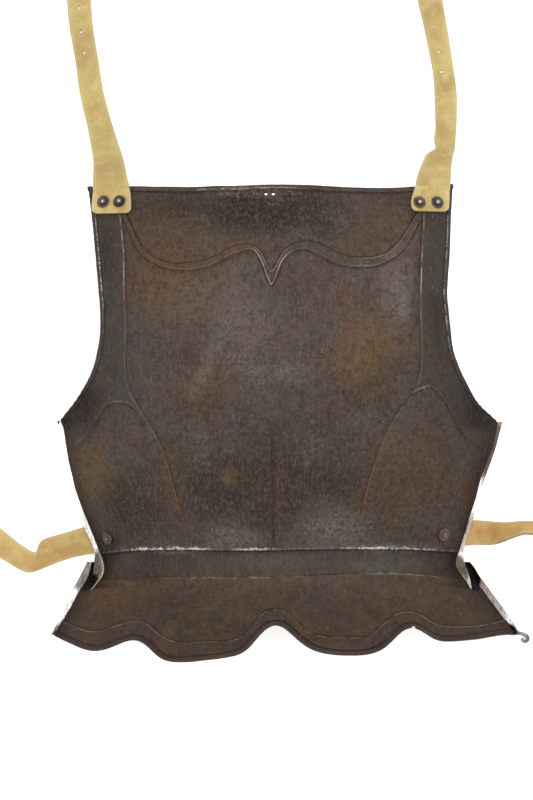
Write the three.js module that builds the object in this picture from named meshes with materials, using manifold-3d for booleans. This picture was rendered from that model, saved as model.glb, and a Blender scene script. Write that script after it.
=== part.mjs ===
// A steel cuirass backplate lying face up, with two shoulder straps and two waist straps of buff leather.
// Millimetres. +Z is up, +Y runs up the back to the neck, and -X is the wearer's left. The origin is the
// middle of the whole object's footprint, on the surface that it lies on.

import * as THREE from 'three';
import { mergeVertices } from 'three/addons/utils/BufferGeometryUtils.js';
import Module from 'manifold-3d';

const wasm = await Module();
wasm.setup();

// Driving dimensions.
const plateThickness = 1.6;
const strapThickness = 2.6;
const spineX = -3;
const gap = 0.35;
const headGap = 0.55;
const strapSlack = 1.05;

// Heights of the embossed work above the bare plate.
const armBandRise = 0.9;
const ridgeRise = 1.2;
const borderRise = 0.9;
const rollRise = 1.9;
const rollDrop = 0.9;
const rollWidth = 4.6;
const spineDepth = 1.2;
const spineHalfWidth = 2.4;
const flangeDrop = 2.6;
const flangeFullWidth = 4;
const waistRecess = { waistFoot: 3.4, waistBand: 3, waistLow: 1.9, waistEnd: 0.3 };
const stepHalfWidth = 0.6;
const borderHalfStep = 0.9;

// Fastenings.
const shankRadius = 2;
const holeRadius = 2.4;
const neckHoleRadius = 1.3;
const buckleHoleRadius = 1.3;
const washer = { radius: 5.4, thickness: 1 };
const shoulderHead = { radius: 3.4, height: 1.6 };
const waistHead = { radius: 6.1, height: 2 };
const tailHead = { radius: 3.8, height: 1.2 };

// The plate's middle: its height above the surface, and how square its cross-section is (2 is an ellipse).
const crown = [
  { y: 112, height: 88, fullness: 2.3 },
  { y: 104, height: 92, fullness: 2.3 },
  { y: 79, height: 104, fullness: 2.32 },
  { y: 40, height: 118, fullness: 2.38 },
  { y: 6, height: 125, fullness: 2.4 },
  { y: -28, height: 126, fullness: 2.4 },
  { y: -78, height: 119, fullness: 2.36 },
  { y: -129, height: 106, fullness: 2.28 },
  { y: -181, height: 92, fullness: 2.12 },
  { y: -208, height: 86, fullness: 2.04 },
  { y: -220, height: 84, fullness: 2.02 },
  { y: -232, height: 84, fullness: 2 },
  { y: -249, height: 91, fullness: 2 },
  { y: -269, height: 104, fullness: 2 },
  { y: -293, height: 122, fullness: 2 },
  { y: -303, height: 129, fullness: 2 },
];

// The side line of the body, where its wall turns out into the narrow flange: where it runs, how high it is,
// and how wide the flange is.
const bodySide = [
  { y: 112, left: -212, right: 203, base: 4.4, flangeLeft: 5.4, flangeRight: 4.9 },
  { y: 40, left: -205, right: 197, base: 4.4, flangeLeft: 5.4, flangeRight: 4.9 },
  { y: -28, left: -197, right: 195, base: 4.4, flangeLeft: 5.4, flangeRight: 4.9 },
  { y: -78, left: -191, right: 194, base: 4.4, flangeLeft: 5.4, flangeRight: 4.9 },
  { y: -97, left: -187, right: 193, base: 4.4, flangeLeft: 5.4, flangeRight: 4.9 },
  { y: -121, left: -183, right: 188.5, base: 6.5, flangeLeft: 5.2, flangeRight: 4.4 },
  { y: -147, left: -177.4, right: 179.3, base: 8.5, flangeLeft: 5.2, flangeRight: 4.2 },
  { y: -175, left: -168.7, right: 171, base: 10, flangeLeft: 5.2, flangeRight: 4.2 },
  { y: -197, left: -160.3, right: 164.5, base: 11.5, flangeLeft: 5, flangeRight: 4.2 },
  { y: -213, left: -154, right: 159.6, base: 15, flangeLeft: 4.8, flangeRight: 4.6 },
  { y: -223, left: -150.5, right: 157.6, base: 21, flangeLeft: 9, flangeRight: 8 },
  { y: -232, left: -151.8, right: 162.5, base: 28, flangeLeft: 8, flangeRight: 6 },
  { y: -243.4, left: -161.6, right: 170.4, base: 35.6, flangeLeft: 0, flangeRight: 0 },
];

// The side line of the flared skirt, which starts outside the body's and below it.
const skirtSide = [
  { y: -236, left: -167.4, right: 176, base: 12, flangeLeft: 6.5, flangeRight: 5 },
  { y: -243.4, left: -171.4, right: 180.5, base: 10, flangeLeft: 6.5, flangeRight: 5 },
  { y: -262, left: -181.5, right: 194.1, base: 6.6, flangeLeft: 5, flangeRight: 4.4 },
  { y: -283, left: -192.9, right: 209.7, base: 4.3, flangeLeft: 4, flangeRight: 4 },
  { y: -303, left: -203.6, right: 224, base: 3.4, flangeLeft: 4, flangeRight: 4 },
];

// The rolled edges of the armholes.
const armhole = [
  { y: 108, left: -162.3, right: 152 },
  { y: 78, left: -158.2, right: 149.8 },
  { y: 36, left: -153.5, right: 147.4 },
  { y: 8, left: -150.6, right: 145.8 },
  { y: -18, left: -149.8, right: 148.3 },
  { y: -35, left: -152.2, right: 151 },
  { y: -52, left: -156.6, right: 157 },
  { y: -68, left: -165.3, right: 165 },
  { y: -83, left: -175.9, right: 175.6 },
  { y: -94, left: -185.4, right: 188.2 },
  { y: -98.7, left: -189, right: 193.2 },
];

// The stepped line that sets the arm band, and the side panel below it, apart from the middle of the back.
const bandLine = [
  { y: 108, left: -134, right: 127 },
  { y: 79, left: -133, right: 125.5 },
  { y: 48, left: -129.6, right: 123.5 },
  { y: 15, left: -129, right: 122.4 },
  { y: -14, left: -128, right: 122.1 },
  { y: -50, left: -128, right: 123 },
  { y: -68, left: -125.6, right: 118.4 },
  { y: -84, left: -117.4, right: 107.4 },
  { y: -110, left: -101.8, right: 91.8 },
  { y: -136, left: -91.9, right: 82.3 },
  { y: -166, left: -84, right: 74.4 },
  { y: -196, left: -77, right: 71 },
  { y: -232, left: -80, right: 74 },
  { y: -262, left: -92, right: 88 },
  { y: -296, left: -103, right: 100 },
];

// The upper edge of the plate, and the raised ridge below it.
const neckLine = [
  { x: -165, edge: 105 },
  { x: -122, edge: 104.8 },
  { x: -65, edge: 103.9 },
  { x: -2, edge: 105.4 },
  { x: 80, edge: 103.3 },
  { x: 118, edge: 104.4 },
  { x: 155, edge: 107.4 },
];
const ridge = [
  { x: -160, upper: 86, lower: 76 },
  { x: -128, upper: 80, lower: 71 },
  { x: -121, upper: 63, lower: 55 },
  { x: -113, upper: 50, lower: 44 },
  { x: -101, upper: 41, lower: 36.4 },
  { x: -86, upper: 37, lower: 31.8 },
  { x: -70, upper: 37.8, lower: 31.8 },
  { x: -54, upper: 42, lower: 36.2 },
  { x: -42, upper: 49, lower: 42.4 },
  { x: -30, upper: 53, lower: 47.4 },
  { x: -18, upper: 51.4, lower: 47 },
  { x: -11, upper: 43, lower: 34 },
  { x: -4.8, upper: 31.5, lower: 19 },
  { x: 3, upper: 42.4, lower: 34.6 },
  { x: 11, upper: 51.6, lower: 45.2 },
  { x: 23, upper: 56.2, lower: 49.4 },
  { x: 39, upper: 52.7, lower: 42.7 },
  { x: 54, upper: 44.6, lower: 35.6 },
  { x: 70, upper: 41.9, lower: 34.2 },
  { x: 86, upper: 43.5, lower: 35.8 },
  { x: 99, upper: 50.4, lower: 42.2 },
  { x: 110, upper: 64, lower: 52.6 },
  { x: 121, upper: 82, lower: 72.5 },
  { x: 150, upper: 89, lower: 79 },
];

// The recessed waist band, and the row where the skirt starts to flare.
const waist = [
  { x: -160, top: -214, low: -234.6, flare: -243.4 },
  { x: -126, top: -209, low: -231.6, flare: -240 },
  { x: -65, top: -207.3, low: -230.1, flare: -237 },
  { x: 0, top: -207, low: -229.4, flare: -236 },
  { x: 80, top: -206.5, low: -226.6, flare: -234.6 },
  { x: 136, top: -209, low: -229.6, flare: -238 },
  { x: 168, top: -213, low: -234.8, flare: -243.4 },
];

// The scalloped lower edge of the skirt, and the line embossed above it.
const scallops = [
  { x: -200, edge: -283.4, line: -270.6 },
  { x: -179, edge: -288.6, line: -273.6 },
  { x: -158, edge: -293.6, line: -277.6 },
  { x: -141, edge: -289.6, line: -273.2 },
  { x: -122, edge: -282.7, line: -267.5 },
  { x: -111, edge: -287, line: -269.4 },
  { x: -101, edge: -295.4, line: -277 },
  { x: -83, edge: -300, line: -284 },
  { x: -62, edge: -298.2, line: -283.4 },
  { x: -39, edge: -295, line: -282 },
  { x: -25, edge: -289, line: -275.6 },
  { x: -12, edge: -275.6, line: -260.4 },
  { x: -1, edge: -269.4, line: -256.4 },
  { x: 9, edge: -273.5, line: -259.2 },
  { x: 22, edge: -284.4, line: -270.8 },
  { x: 38, edge: -292, line: -278.6 },
  { x: 62, edge: -294.3, line: -279.6 },
  { x: 81, edge: -293, line: -277.6 },
  { x: 93, edge: -288, line: -268 },
  { x: 104, edge: -278.6, line: -260.8 },
  { x: 115, edge: -273, line: -260 },
  { x: 124, edge: -275.6, line: -262.6 },
  { x: 135, edge: -282.2, line: -269.4 },
  { x: 151, edge: -284.8, line: -273 },
  { x: 174, edge: -283.9, line: -273.2 },
  { x: 203, edge: -282.6, line: -270.8 },
  { x: 221, edge: -286.4, line: -271.6 },
];

// The skirt's ear: it stands up beside the body's flange, past the notch in the plate at the waist.
const ears = {
  left: [
    { y: -220.4, innerX: -157.6, innerZ: 9, creaseX: -162.4, creaseZ: 10, outerX: -166, outerZ: 8 },
    { y: -232.8, innerX: -158.8, innerZ: 14, creaseX: -165.3, creaseZ: 10.6, outerX: -172.1, outerZ: 7.6 },
    { y: -239.6, innerX: -160.4, innerZ: 24, creaseX: -168.9, creaseZ: 11.4, outerX: -175.7, outerZ: 7.6 },
  ],
  right: [
    { y: -221.6, innerX: 162.4, innerZ: 9, creaseX: 167, creaseZ: 10, outerX: 170.2, outerZ: 8.6 },
    { y: -232.2, innerX: 165.6, innerZ: 14, creaseX: 172.4, creaseZ: 10.6, outerX: 176.2, outerZ: 8 },
    { y: -239.6, innerX: 168.2, innerZ: 24, creaseX: 177.6, creaseZ: 11.4, outerX: 182.6, outerZ: 7.8 },
  ],
};

// Shoulder straps, from the riveted end to the free end: the middle and width of each section. `kept` is the
// share of its height above the surface that the strap still has there.
const shoulderFall = [
  { y: 104, kept: 1 },
  { y: 114, kept: 0.93 },
  { y: 124, kept: 0.81 },
  { y: 134, kept: 0.66 },
  { y: 144, kept: 0.5 },
  { y: 154, kept: 0.35 },
  { y: 164, kept: 0.225 },
  { y: 174, kept: 0.125 },
  { y: 184, kept: 0.055 },
  { y: 194, kept: 0.015 },
  { y: 204, kept: 0 },
  { y: 214, kept: 0 },
];
const shoulderStraps = {
  left: [
    { y: 80.4, x: -140, width: 27 },
    { y: 83.8, x: -139.9, width: 33.4 },
    { y: 90, x: -139.8, width: 33 },
    { y: 97, x: -139.9, width: 31.9 },
    { y: 102.6, x: -140.2, width: 30.8 },
    { y: 108, x: -140.9, width: 30 },
    { y: 114, x: -142, width: 28.9 },
    { y: 124, x: -143.9, width: 27.4 },
    { y: 134, x: -146, width: 26 },
    { y: 146, x: -149.4, width: 24.3 },
    { y: 158, x: -152.8, width: 22.8 },
    { y: 170, x: -156.2, width: 21.9 },
    { y: 181, x: -159.3, width: 21.4 },
    { y: 191, x: -161.8, width: 21.1 },
    { y: 204, x: -164, width: 20.6 },
    { y: 226, x: -167.3, width: 20.4 },
    { y: 243, x: -170.3, width: 20.7 },
    { y: 262, x: -172.5, width: 21 },
    { y: 297.4, x: -174.4, width: 20.6 },
    { y: 300.4, x: -174.5, width: 17 },
  ],
  right: [
    { y: 82, x: 130.6, width: 26 },
    { y: 85, x: 130.5, width: 31.6 },
    { y: 91, x: 130.6, width: 32.4 },
    { y: 97, x: 131.6, width: 31 },
    { y: 104.2, x: 132.9, width: 29.6 },
    { y: 109.6, x: 133.9, width: 29.2 },
    { y: 114, x: 134.8, width: 28.7 },
    { y: 121, x: 136.8, width: 27.3 },
    { y: 130, x: 140, width: 25.1 },
    { y: 135.4, x: 142.6, width: 22.7 },
    { y: 137.6, x: 144.8, width: 19.8 },
    { y: 148, x: 147.2, width: 18.5 },
    { y: 158, x: 148.4, width: 18.4 },
    { y: 168, x: 149, width: 18.7 },
    { y: 178, x: 149.3, width: 19.2 },
    { y: 188, x: 149.3, width: 19.5 },
    { y: 204, x: 148.2, width: 18.9 },
    { y: 222, x: 145.3, width: 18.9 },
    { y: 241, x: 142, width: 20 },
    { y: 257, x: 138.8, width: 20.8 },
    { y: 273, x: 135.7, width: 21.8 },
    { y: 297.4, x: 131.6, width: 22.2 },
    { y: 300.4, x: 131.2, width: 18.6 },
  ],
};
const buckleHoles = {
  left: [{ x: -173.2, y: 266.7 }, { x: -171.3, y: 245.7 }, { x: -168.4, y: 227.2 }],
  right: [{ x: 143.4, y: 228.5 }, { x: 145.9, y: 210.4 }, { x: 148.9, y: 192.2 }],
};

// Waist straps. Each first lies against the inside of the wall, where `around` is the place on the
// cross-section (0 at the spine, 1 at the side line) and the other columns are its upper and lower edges.
const waistStrapsInside = {
  left: [
    { around: 0.63, upperY: -186.6, lowerY: -208.6 },
    { around: 0.72, upperY: -187, lowerY: -209.2 },
    { around: 0.81, upperY: -187.6, lowerY: -210 },
    { around: 0.89, upperY: -188.2, lowerY: -210.9 },
    { around: 0.945, upperY: -188.8, lowerY: -211.7 },
  ],
  right: [
    { around: 0.58, upperY: -184.3, lowerY: -205.4 },
    { around: 0.67, upperY: -184.1, lowerY: -205.5 },
    { around: 0.77, upperY: -184, lowerY: -205.6 },
    { around: 0.87, upperY: -184, lowerY: -205.8 },
    { around: 0.94, upperY: -184, lowerY: -206 },
  ],
};

// Then it passes under the flange and lies on the surface, where each section has its upper and lower edge.
const waistStrapsOutside = {
  left: [
    { upper: [-160.4, -189.4, 7.4], lower: [-151.4, -212.3, 10.8] },
    { upper: [-169, -190.2, 5], lower: [-160, -212.9, 7] },
    { upper: [-176, -192.2, 3.6], lower: [-166.4, -214.2, 4.2] },
    { upper: [-183, -194.2, 2.8], lower: [-172, -215.4, 2.9] },
    { upper: [-197.1, -198.2, 2.6], lower: [-184.6, -218.6, 2.6] },
    { upper: [-206.4, -202.6, 4.2], lower: [-198.7, -224, 2.6] },
    { upper: [-208.9, -208.4, 6.6], lower: [-207.6, -227.8, 2.6] },
    { upper: [-211.4, -212.4, 6.2], lower: [-214.6, -230, 2.6] },
    { upper: [-219.6, -209, 3.4], lower: [-221.4, -229.4, 2.6] },
    { upper: [-230.1, -201.2, 2.6], lower: [-231.6, -224, 2.6] },
    { upper: [-242.7, -191, 2.6], lower: [-247, -214.2, 2.6] },
    { upper: [-248.6, -186.4, 2.6], lower: [-262, -204.4, 2.6] },
  ],
  right: [
    { upper: [165, -184, 7], lower: [158.2, -206, 8.6] },
    { upper: [174, -184, 4.8], lower: [167.8, -206, 5.8] },
    { upper: [181.4, -184.3, 3.2], lower: [178, -205.6, 3.6] },
    { upper: [189, -184.8, 2.6], lower: [189.4, -205.3, 2.7] },
    { upper: [195, -185.2, 2.4], lower: [195.6, -202.6, 13.4] },
    { upper: [202, -185.5, 2], lower: [202, -199.6, 17.2] },
    { upper: [210, -184.8, 1.7], lower: [209.4, -196.3, 18.9] },
    { upper: [218, -184.3, 1.5], lower: [217.4, -194, 19.6] },
    { upper: [227, -184.4, 1.6], lower: [226.6, -195, 19] },
    { upper: [235, -184.8, 2], lower: [234.4, -198.6, 15.2] },
    { upper: [242, -185, 2.4], lower: [241.6, -203, 8.6] },
    { upper: [248, -185, 2.6], lower: [247.8, -205.4, 3.6] },
    { upper: [253, -185, 2.6], lower: [253, -206, 2.6] },
    { upper: [262, -185, 2.6], lower: [262, -206, 2.6] },
  ],
};

const neckHoles = [{ x: -8.8, y: 97.2 }, { x: -2.6, y: 97.2 }];
const shoulderRivets = {
  left: [{ x: -146.5, y: 90 }, { x: -132.9, y: 89.8 }],
  right: [{ x: 121.1, y: 89 }, { x: 136.4, y: 89.4 }],
};
const waistRivets = { left: { x: -145.7, y: -197.9 }, right: { x: 144.8, y: -194.6 } };

// Rows of the plate's net between the ridge and the waist, and how the columns are spread.
const rightArmpit = { lower: 1.7, x: 193 };
const bodyRows = [6, -20, -42, -58, -70, -79, -87, -93, -97];
const flankRows = [-111, -129, -148, -167, -184, -198];
const wallColumns = 5;
const panelShares = [0.94, 0.84, 0.71, 0.57, 0.43, 0.32, 0.21, 0.12, 0.055];

const blackSteel = { color: 0x4a423d, roughness: 0.5, metalness: 0.85 };
const buffLeather = { color: 0xc2a55c, roughness: 0.85, metalness: 0 };
const brownedIron = { color: 0x5c4a40, roughness: 0.55, metalness: 0.8 };

// Natural cubic spline of one named column of a table against another.
function smooth(table, key, column) {
  const rows = [...table].sort((a, b) => a[key] - b[key]);
  const at = rows.map((row) => row[key]);
  const value = rows.map((row) => row[column]);
  const count = at.length;
  const bend = new Array(count).fill(0);
  const carried = new Array(count).fill(0);
  for (let i = 1; i < count - 1; i++) {
    const share = (at[i] - at[i - 1]) / (at[i + 1] - at[i - 1]);
    const pivot = share * bend[i - 1] + 2;
    const turn =
      (value[i + 1] - value[i]) / (at[i + 1] - at[i]) - (value[i] - value[i - 1]) / (at[i] - at[i - 1]);
    bend[i] = (share - 1) / pivot;
    carried[i] = ((6 * turn) / (at[i + 1] - at[i - 1]) - share * carried[i - 1]) / pivot;
  }
  for (let i = count - 2; i > 0; i--) {
    bend[i] = bend[i] * bend[i + 1] + carried[i];
  }
  bend[0] = 0;
  return (t) => {
    const here = Math.min(Math.max(t, at[0]), at[count - 1]);
    let i = 0;
    while (i < count - 2 && here > at[i + 1]) {
      i++;
    }
    const span = at[i + 1] - at[i];
    const b = (here - at[i]) / span;
    const a = 1 - b;
    const cubic = ((a * a * a - a) * bend[i] + (b * b * b - b) * bend[i + 1]) * span * span;
    return a * value[i] + b * value[i + 1] + cubic / 6;
  };
}

// Every column of a table, as a function of its key.
function curves(table, key) {
  const named = {};
  for (const column of Object.keys(table[0]).filter((name) => name !== key)) {
    named[column] = smooth(table, key, column);
  }
  return named;
}

const crownAt = curves(crown, 'y');
const bodySideAt = curves(bodySide, 'y');
const skirtSideAt = curves(skirtSide, 'y');
const armholeAt = curves(armhole, 'y');
const bandLineAt = curves(bandLine, 'y');
const neckAt = curves(neckLine, 'x');
const ridgeAt = curves(ridge, 'x');
const waistAt = curves(waist, 'x');
const scallopAt = curves(scallops, 'x');
const keptAt = smooth(shoulderFall, 'y', 'kept');

const armpitY = bodyRows[bodyRows.length - 1];
const mix = THREE.MathUtils.lerp;
const fade = (t, from, to) => THREE.MathUtils.smoothstep(t, from, to);
const sideName = (side) => (side < 0 ? 'left' : 'right');

// A point of the bare plate, at a place around its cross-section: -1 and 1 are the side lines, 0 the spine.
function bareAt(y, around, sideAt) {
  const side = around < 0 ? -1 : 1;
  const angle = (Math.abs(around) * Math.PI) / 2;
  const power = 2 / crownAt.fullness(y);
  const halfWidth = Math.abs(sideAt[sideName(side)](y) - spineX);
  const base = sideAt.base(y);
  const x = spineX + side * halfWidth * Math.sin(angle) ** power;
  const z = base + (crownAt.height(y) - base) * Math.max(Math.cos(angle), 0) ** power;
  return new THREE.Vector3(x, y, z);
}

// The place around the cross-section where the bare plate has this x.
function aroundAt(x, y, sideAt) {
  const side = x < spineX ? -1 : 1;
  const halfWidth = Math.abs(sideAt[sideName(side)](y) - spineX);
  const share = Math.min(Math.abs(x - spineX) / halfWidth, 1);
  return (side * Math.asin(share ** (crownAt.fullness(y) / 2)) * 2) / Math.PI;
}

// The outward normal of the bare plate.
function normalAt(y, around, sideAt) {
  const step = 0.004;
  const reach = Math.min(Math.max(around, -1 + step), 1 - step);
  const across = bareAt(y, reach + step, sideAt).sub(bareAt(y, reach - step, sideAt));
  const along = bareAt(y + 1, reach, sideAt).sub(bareAt(y - 1, reach, sideAt));
  return across.cross(along).normalize();
}

function onBody(x, y, lift) {
  const around = aroundAt(x, y, bodySideAt);
  return bareAt(y, around, bodySideAt).addScaledVector(normalAt(y, around, bodySideAt), lift);
}

// Columns of the body's net on one side, from the outer edge to the spine, as places around the section.
function bodyColumns(y, side) {
  const name = sideName(side);
  const slope = (armholeAt[name](y + 1) - armholeAt[name](y - 1)) / 2;
  const lean = Math.min(Math.hypot(1, slope), 1.6);
  const rim = (inset) => Math.abs(aroundAt(armholeAt[name](y) - side * inset * lean, y, bodySideAt));
  const onArm = y > armpitY + 0.5;
  const outer = onArm ? [rim(0), rim(rollWidth / 2), rim(rollWidth)] : [1, 1, 0.9];
  return [...outer, ...innerColumns(y, side, outer[2], bodySideAt)].map((around) => side * around);
}

// The columns that body and skirt share: wall, band line, panel and edge of the spine groove.
function innerColumns(y, side, from, sideAt) {
  const name = sideName(side);
  const band = Math.abs(aroundAt(bandLineAt[name](y), y, sideAt));
  const halfBand = Math.abs(bandLineAt[name](y) - spineX);
  const place = (share) => Math.abs(aroundAt(spineX + side * halfBand * share, y, sideAt));
  const columns = [];
  for (let k = 1; k <= wallColumns; k++) {
    columns.push(mix(from, band, (k - 0.25) / (wallColumns + 0.1)));
  }
  columns.push(place(1.006), place(0.994), ...panelShares.map(place));
  columns.push(Math.abs(aroundAt(spineX + side * spineHalfWidth, y, sideAt)));
  return columns;
}

const notchShare = { left: 158.6 / 168.4, right: 173.4 / 183.5 };
const notchDrop = 0.022;
const notchBand = 0.035;

// Columns of the skirt's net: flange and crease, the two ends of the notch, then the body's own columns.
function skirtColumns(y, side) {
  const halfWidth = Math.abs(skirtSideAt[sideName(side)](y) - spineX);
  const notchX = spineX + side * halfWidth * notchShare[sideName(side)];
  const notch = Math.abs(aroundAt(notchX, y, skirtSideAt));
  const near = notch - notchBand;
  const columns = [1, 1, notch + notchDrop, notch, near, ...innerColumns(y, side, near, skirtSideAt)];
  return columns.map((around) => side * around);
}

// A row of the plate's net: a line across the plate, named, at a y that may change with x.
function row(name, yAt) {
  return { name, yAt };
}

function bodyNetRows() {
  const neck = (x) => neckAt.edge(x);
  const foot = (x) => ridgeAt.lower(x);
  const firstStraight = bodyRows[0];
  const lowering = (x) => rightArmpit.lower * Math.max(x / rightArmpit.x, 0);
  return [
    row('neckEdge', neck),
    row('neckCrest', (x) => neck(x) - rollWidth / 2),
    row('neckInner', (x) => neck(x) - rollWidth),
    row('yoke', (x) => mix(neck(x) - rollWidth, ridgeAt.upper(x), 0.4)),
    row('yoke', (x) => mix(neck(x) - rollWidth, ridgeAt.upper(x), 0.8)),
    row('ridgeFoot', (x) => ridgeAt.upper(x) + stepHalfWidth),
    row('ridgeTop', (x) => mix(ridgeAt.upper(x), foot(x), 0.25)),
    row('ridgeTop', (x) => mix(ridgeAt.upper(x), foot(x), 0.75)),
    row('ridgeFoot', (x) => foot(x) - stepHalfWidth),
    row('back', (x) => mix(foot(x), firstStraight, 0.4)),
    row('back', (x) => mix(foot(x), firstStraight, 0.72)),
    ...bodyRows.map((y) => row('back', (x) => y - lowering(x) * fade(-y, 40, 97))),
    ...flankRows.map((y) => row('flank', (x) => mix(y, waistAt.top(x) + 4, fade(-y, 160, 203)))),
    row('waistTop', (x) => waistAt.top(x)),
    row('waistFoot', (x) => waistAt.top(x) - 2 * stepHalfWidth),
    row('waistBand', (x) => mix(waistAt.top(x), waistAt.low(x), 0.5)),
    row('waistLow', (x) => waistAt.low(x) + stepHalfWidth),
    row('waistEnd', (x) => waistAt.low(x) - stepHalfWidth),
  ];
}

function skirtNetRows() {
  const part = (from, to, share) => (x) => mix(from(x), to(x), share);
  return [
    row('flare', waistAt.flare),
    row('skirt', part(waistAt.flare, scallopAt.line, 0.3)),
    row('skirt', part(waistAt.flare, scallopAt.line, 0.62)),
    row('skirt', (x) => scallopAt.line(x) + borderHalfStep),
    row('border', (x) => scallopAt.line(x) - borderHalfStep),
    row('border', (x) => mix(scallopAt.line(x), scallopAt.edge(x) + rollWidth, 0.6)),
    row('rimInner', (x) => scallopAt.edge(x) + rollWidth),
    row('rimCrest', (x) => scallopAt.edge(x) + rollWidth / 2),
    row('rimEdge', scallopAt.edge),
  ];
}

// How far the body's surface stands out of the bare plate at a row and a column.
function bodyRelief(rowName, column, y) {
  const bandColumn = 3 + wallColumns;
  const onArm = y > armpitY + 0.5;
  if (rowName === 'neckEdge' || (onArm && column === 0)) {
    return -rollDrop;
  }
  if (rowName === 'neckCrest' || (onArm && column === 1)) {
    return rollRise;
  }
  if (rowName in waistRecess) {
    return -waistRecess[rowName] * fade(column, 1, 4);
  }
  const outside = column <= bandColumn ? armBandRise * fade(y, -204, -150) : 0;
  const onRidge = rowName === 'ridgeTop' && column > bandColumn + 1 ? ridgeRise : 0;
  return outside + onRidge;
}

function skirtRelief(rowName) {
  const crest = borderRise + 1;
  return { border: borderRise, rimInner: borderRise, rimCrest: crest, rimEdge: -rollDrop }[rowName] ?? 0;
}

// Where a row and a column of the net meet: each pass moves nearer to the row at the column's x.
function meet(rowOfNet, columnsAt, column, side, sideAt) {
  const passes = 24;
  const stride = 0.7;
  let y = rowOfNet.yAt(0);
  for (let pass = 0; pass < passes; pass++) {
    const x = bareAt(y, columnsAt(y, side)[column], sideAt).x;
    y = mix(y, rowOfNet.yAt(x), stride);
  }
  return { y, around: columnsAt(y, side)[column] };
}

// One point of the net, with its relief. On the flange it leaves the section and runs out and down.
function netPoint(rowOfNet, columnsAt, column, side, sideAt, reliefAt) {
  const { y, around } = meet(rowOfNet, columnsAt, column, side, sideAt);
  const point = bareAt(y, around, sideAt);
  const relief = reliefAt(rowOfNet.name, column, y);
  if (Math.abs(around) < 1) {
    return point.addScaledVector(normalAt(y, around, sideAt), relief);
  }
  if (column === 0) {
    const width = sideAt[side < 0 ? 'flangeLeft' : 'flangeRight'](y);
    point.x += side * width;
    point.z -= flangeDrop * Math.min(width / flangeFullWidth, 1);
  }
  return point;
}

function spinePoint(rowOfNet, sideAt, reliefAt, column) {
  const y = rowOfNet.yAt(spineX);
  const groove = spineDepth * fade(-y, 84, 120) * (1 - fade(-y, 205, 207));
  const relief = reliefAt(rowOfNet.name, column, y) - groove;
  return bareAt(y, 0, sideAt).addScaledVector(normalAt(y, 0.004, sideAt), relief);
}

// A whole row from the left edge to the right edge.
function netLine(rowOfNet, columnsAt, sideAt, reliefAt) {
  const count = columnsAt(0, 1).length;
  const half = (side) =>
    Array.from({ length: count }, (_, k) => netPoint(rowOfNet, columnsAt, k, side, sideAt, reliefAt));
  return [...half(-1), spinePoint(rowOfNet, sideAt, reliefAt, count), ...half(1).reverse()];
}

// The four nets of the plate's outer face. The skirt's first row closes the body's net too, apart from the
// columns outside the notch, where the body's flange runs into the notch's upper end.
function plateNets() {
  const body = bodyNetRows().map((line) => netLine(line, bodyColumns, bodySideAt, bodyRelief));
  const skirt = skirtNetRows().map((line) => netLine(line, skirtColumns, skirtSideAt, skirtRelief));
  const seam = skirt[0].slice(3, -3);
  body.push([seam[0], ...seam, seam[seam.length - 1]]);
  const earNet = (name, crease) => [
    ...ears[name].map((at) => [
      new THREE.Vector3(at.outerX, at.y, at.outerZ),
      new THREE.Vector3(at.creaseX, at.y, at.creaseZ),
      new THREE.Vector3(at.innerX, at.y, at.innerZ),
    ]),
    crease,
  ];
  const leftEar = earNet('left', skirt[0].slice(0, 3));
  const rightEar = earNet('right', skirt[0].slice(-3).reverse()).map((line) => line.reverse());
  return [body, skirt, leftEar, rightEar];
}

// A closed solid from nets of points seen from outside: left to right in a row, and rows from top to bottom.
function sheetSolid(nets, thickness) {
  const points = [];
  const places = new Map();
  const indexOf = (point) => {
    const place = point.toArray().map((value) => Math.round(value * 1000)).join();
    if (!places.has(place)) {
      places.set(place, points.length);
      points.push(point);
    }
    return places.get(place);
  };
  const faces = [];
  const addFace = (...corners) => {
    if (new Set(corners).size === 3) {
      faces.push(corners);
    }
  };
  for (const net of nets) {
    for (let i = 0; i + 1 < net.length; i++) {
      for (let k = 0; k + 1 < net[i].length; k++) {
        const [a, b, c, d] = [net[i][k], net[i + 1][k], net[i + 1][k + 1], net[i][k + 1]].map(indexOf);
        addFace(a, b, d);
        addFace(b, c, d);
      }
    }
  }
  const normals = points.map(() => new THREE.Vector3());
  const edges = new Set();
  for (const [a, b, c] of faces) {
    const ab = points[b].clone().sub(points[a]);
    const normal = ab.cross(points[c].clone().sub(points[a])).normalize();
    const corners = [[a, b, c], [b, c, a], [c, a, b]];
    for (const [at, next, last] of corners) {
      const angle = points[next].clone().sub(points[at]).angleTo(points[last].clone().sub(points[at]));
      normals[at].addScaledVector(normal, angle);
      edges.add(`${at},${next}`);
    }
  }
  const count = points.length;
  const inner = points.map((point, i) => point.clone().addScaledVector(normals[i].normalize(), -thickness));
  const index = [];
  for (const [a, b, c] of faces) {
    index.push(a, b, c, c + count, b + count, a + count);
  }
  for (const edge of edges) {
    const [a, b] = edge.split(',').map(Number);
    if (!edges.has(`${b},${a}`)) {
      index.push(b, a, a + count, b, a + count, b + count);
    }
  }
  const geometry = new THREE.BufferGeometry().setFromPoints([...points, ...inner]);
  geometry.setIndex(index);
  return geometry;
}

function toManifold(geometry) {
  const bare = geometry.clone();
  bare.deleteAttribute('normal');
  bare.deleteAttribute('uv');
  const merged = mergeVertices(bare, 1e-5);
  const vertProperties = new Float32Array(merged.attributes.position.array);
  const triVerts = new Uint32Array(merged.index.array);
  return new wasm.Manifold(new wasm.Mesh({ numProp: 3, vertProperties, triVerts }));
}

function toGeometry(manifold) {
  const mesh = manifold.getMesh();
  const geometry = new THREE.BufferGeometry();
  geometry.setAttribute('position', new THREE.BufferAttribute(new Float32Array(mesh.vertProperties), 3));
  geometry.setIndex(new THREE.BufferAttribute(new Uint32Array(mesh.triVerts), 1));
  return geometry;
}

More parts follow.
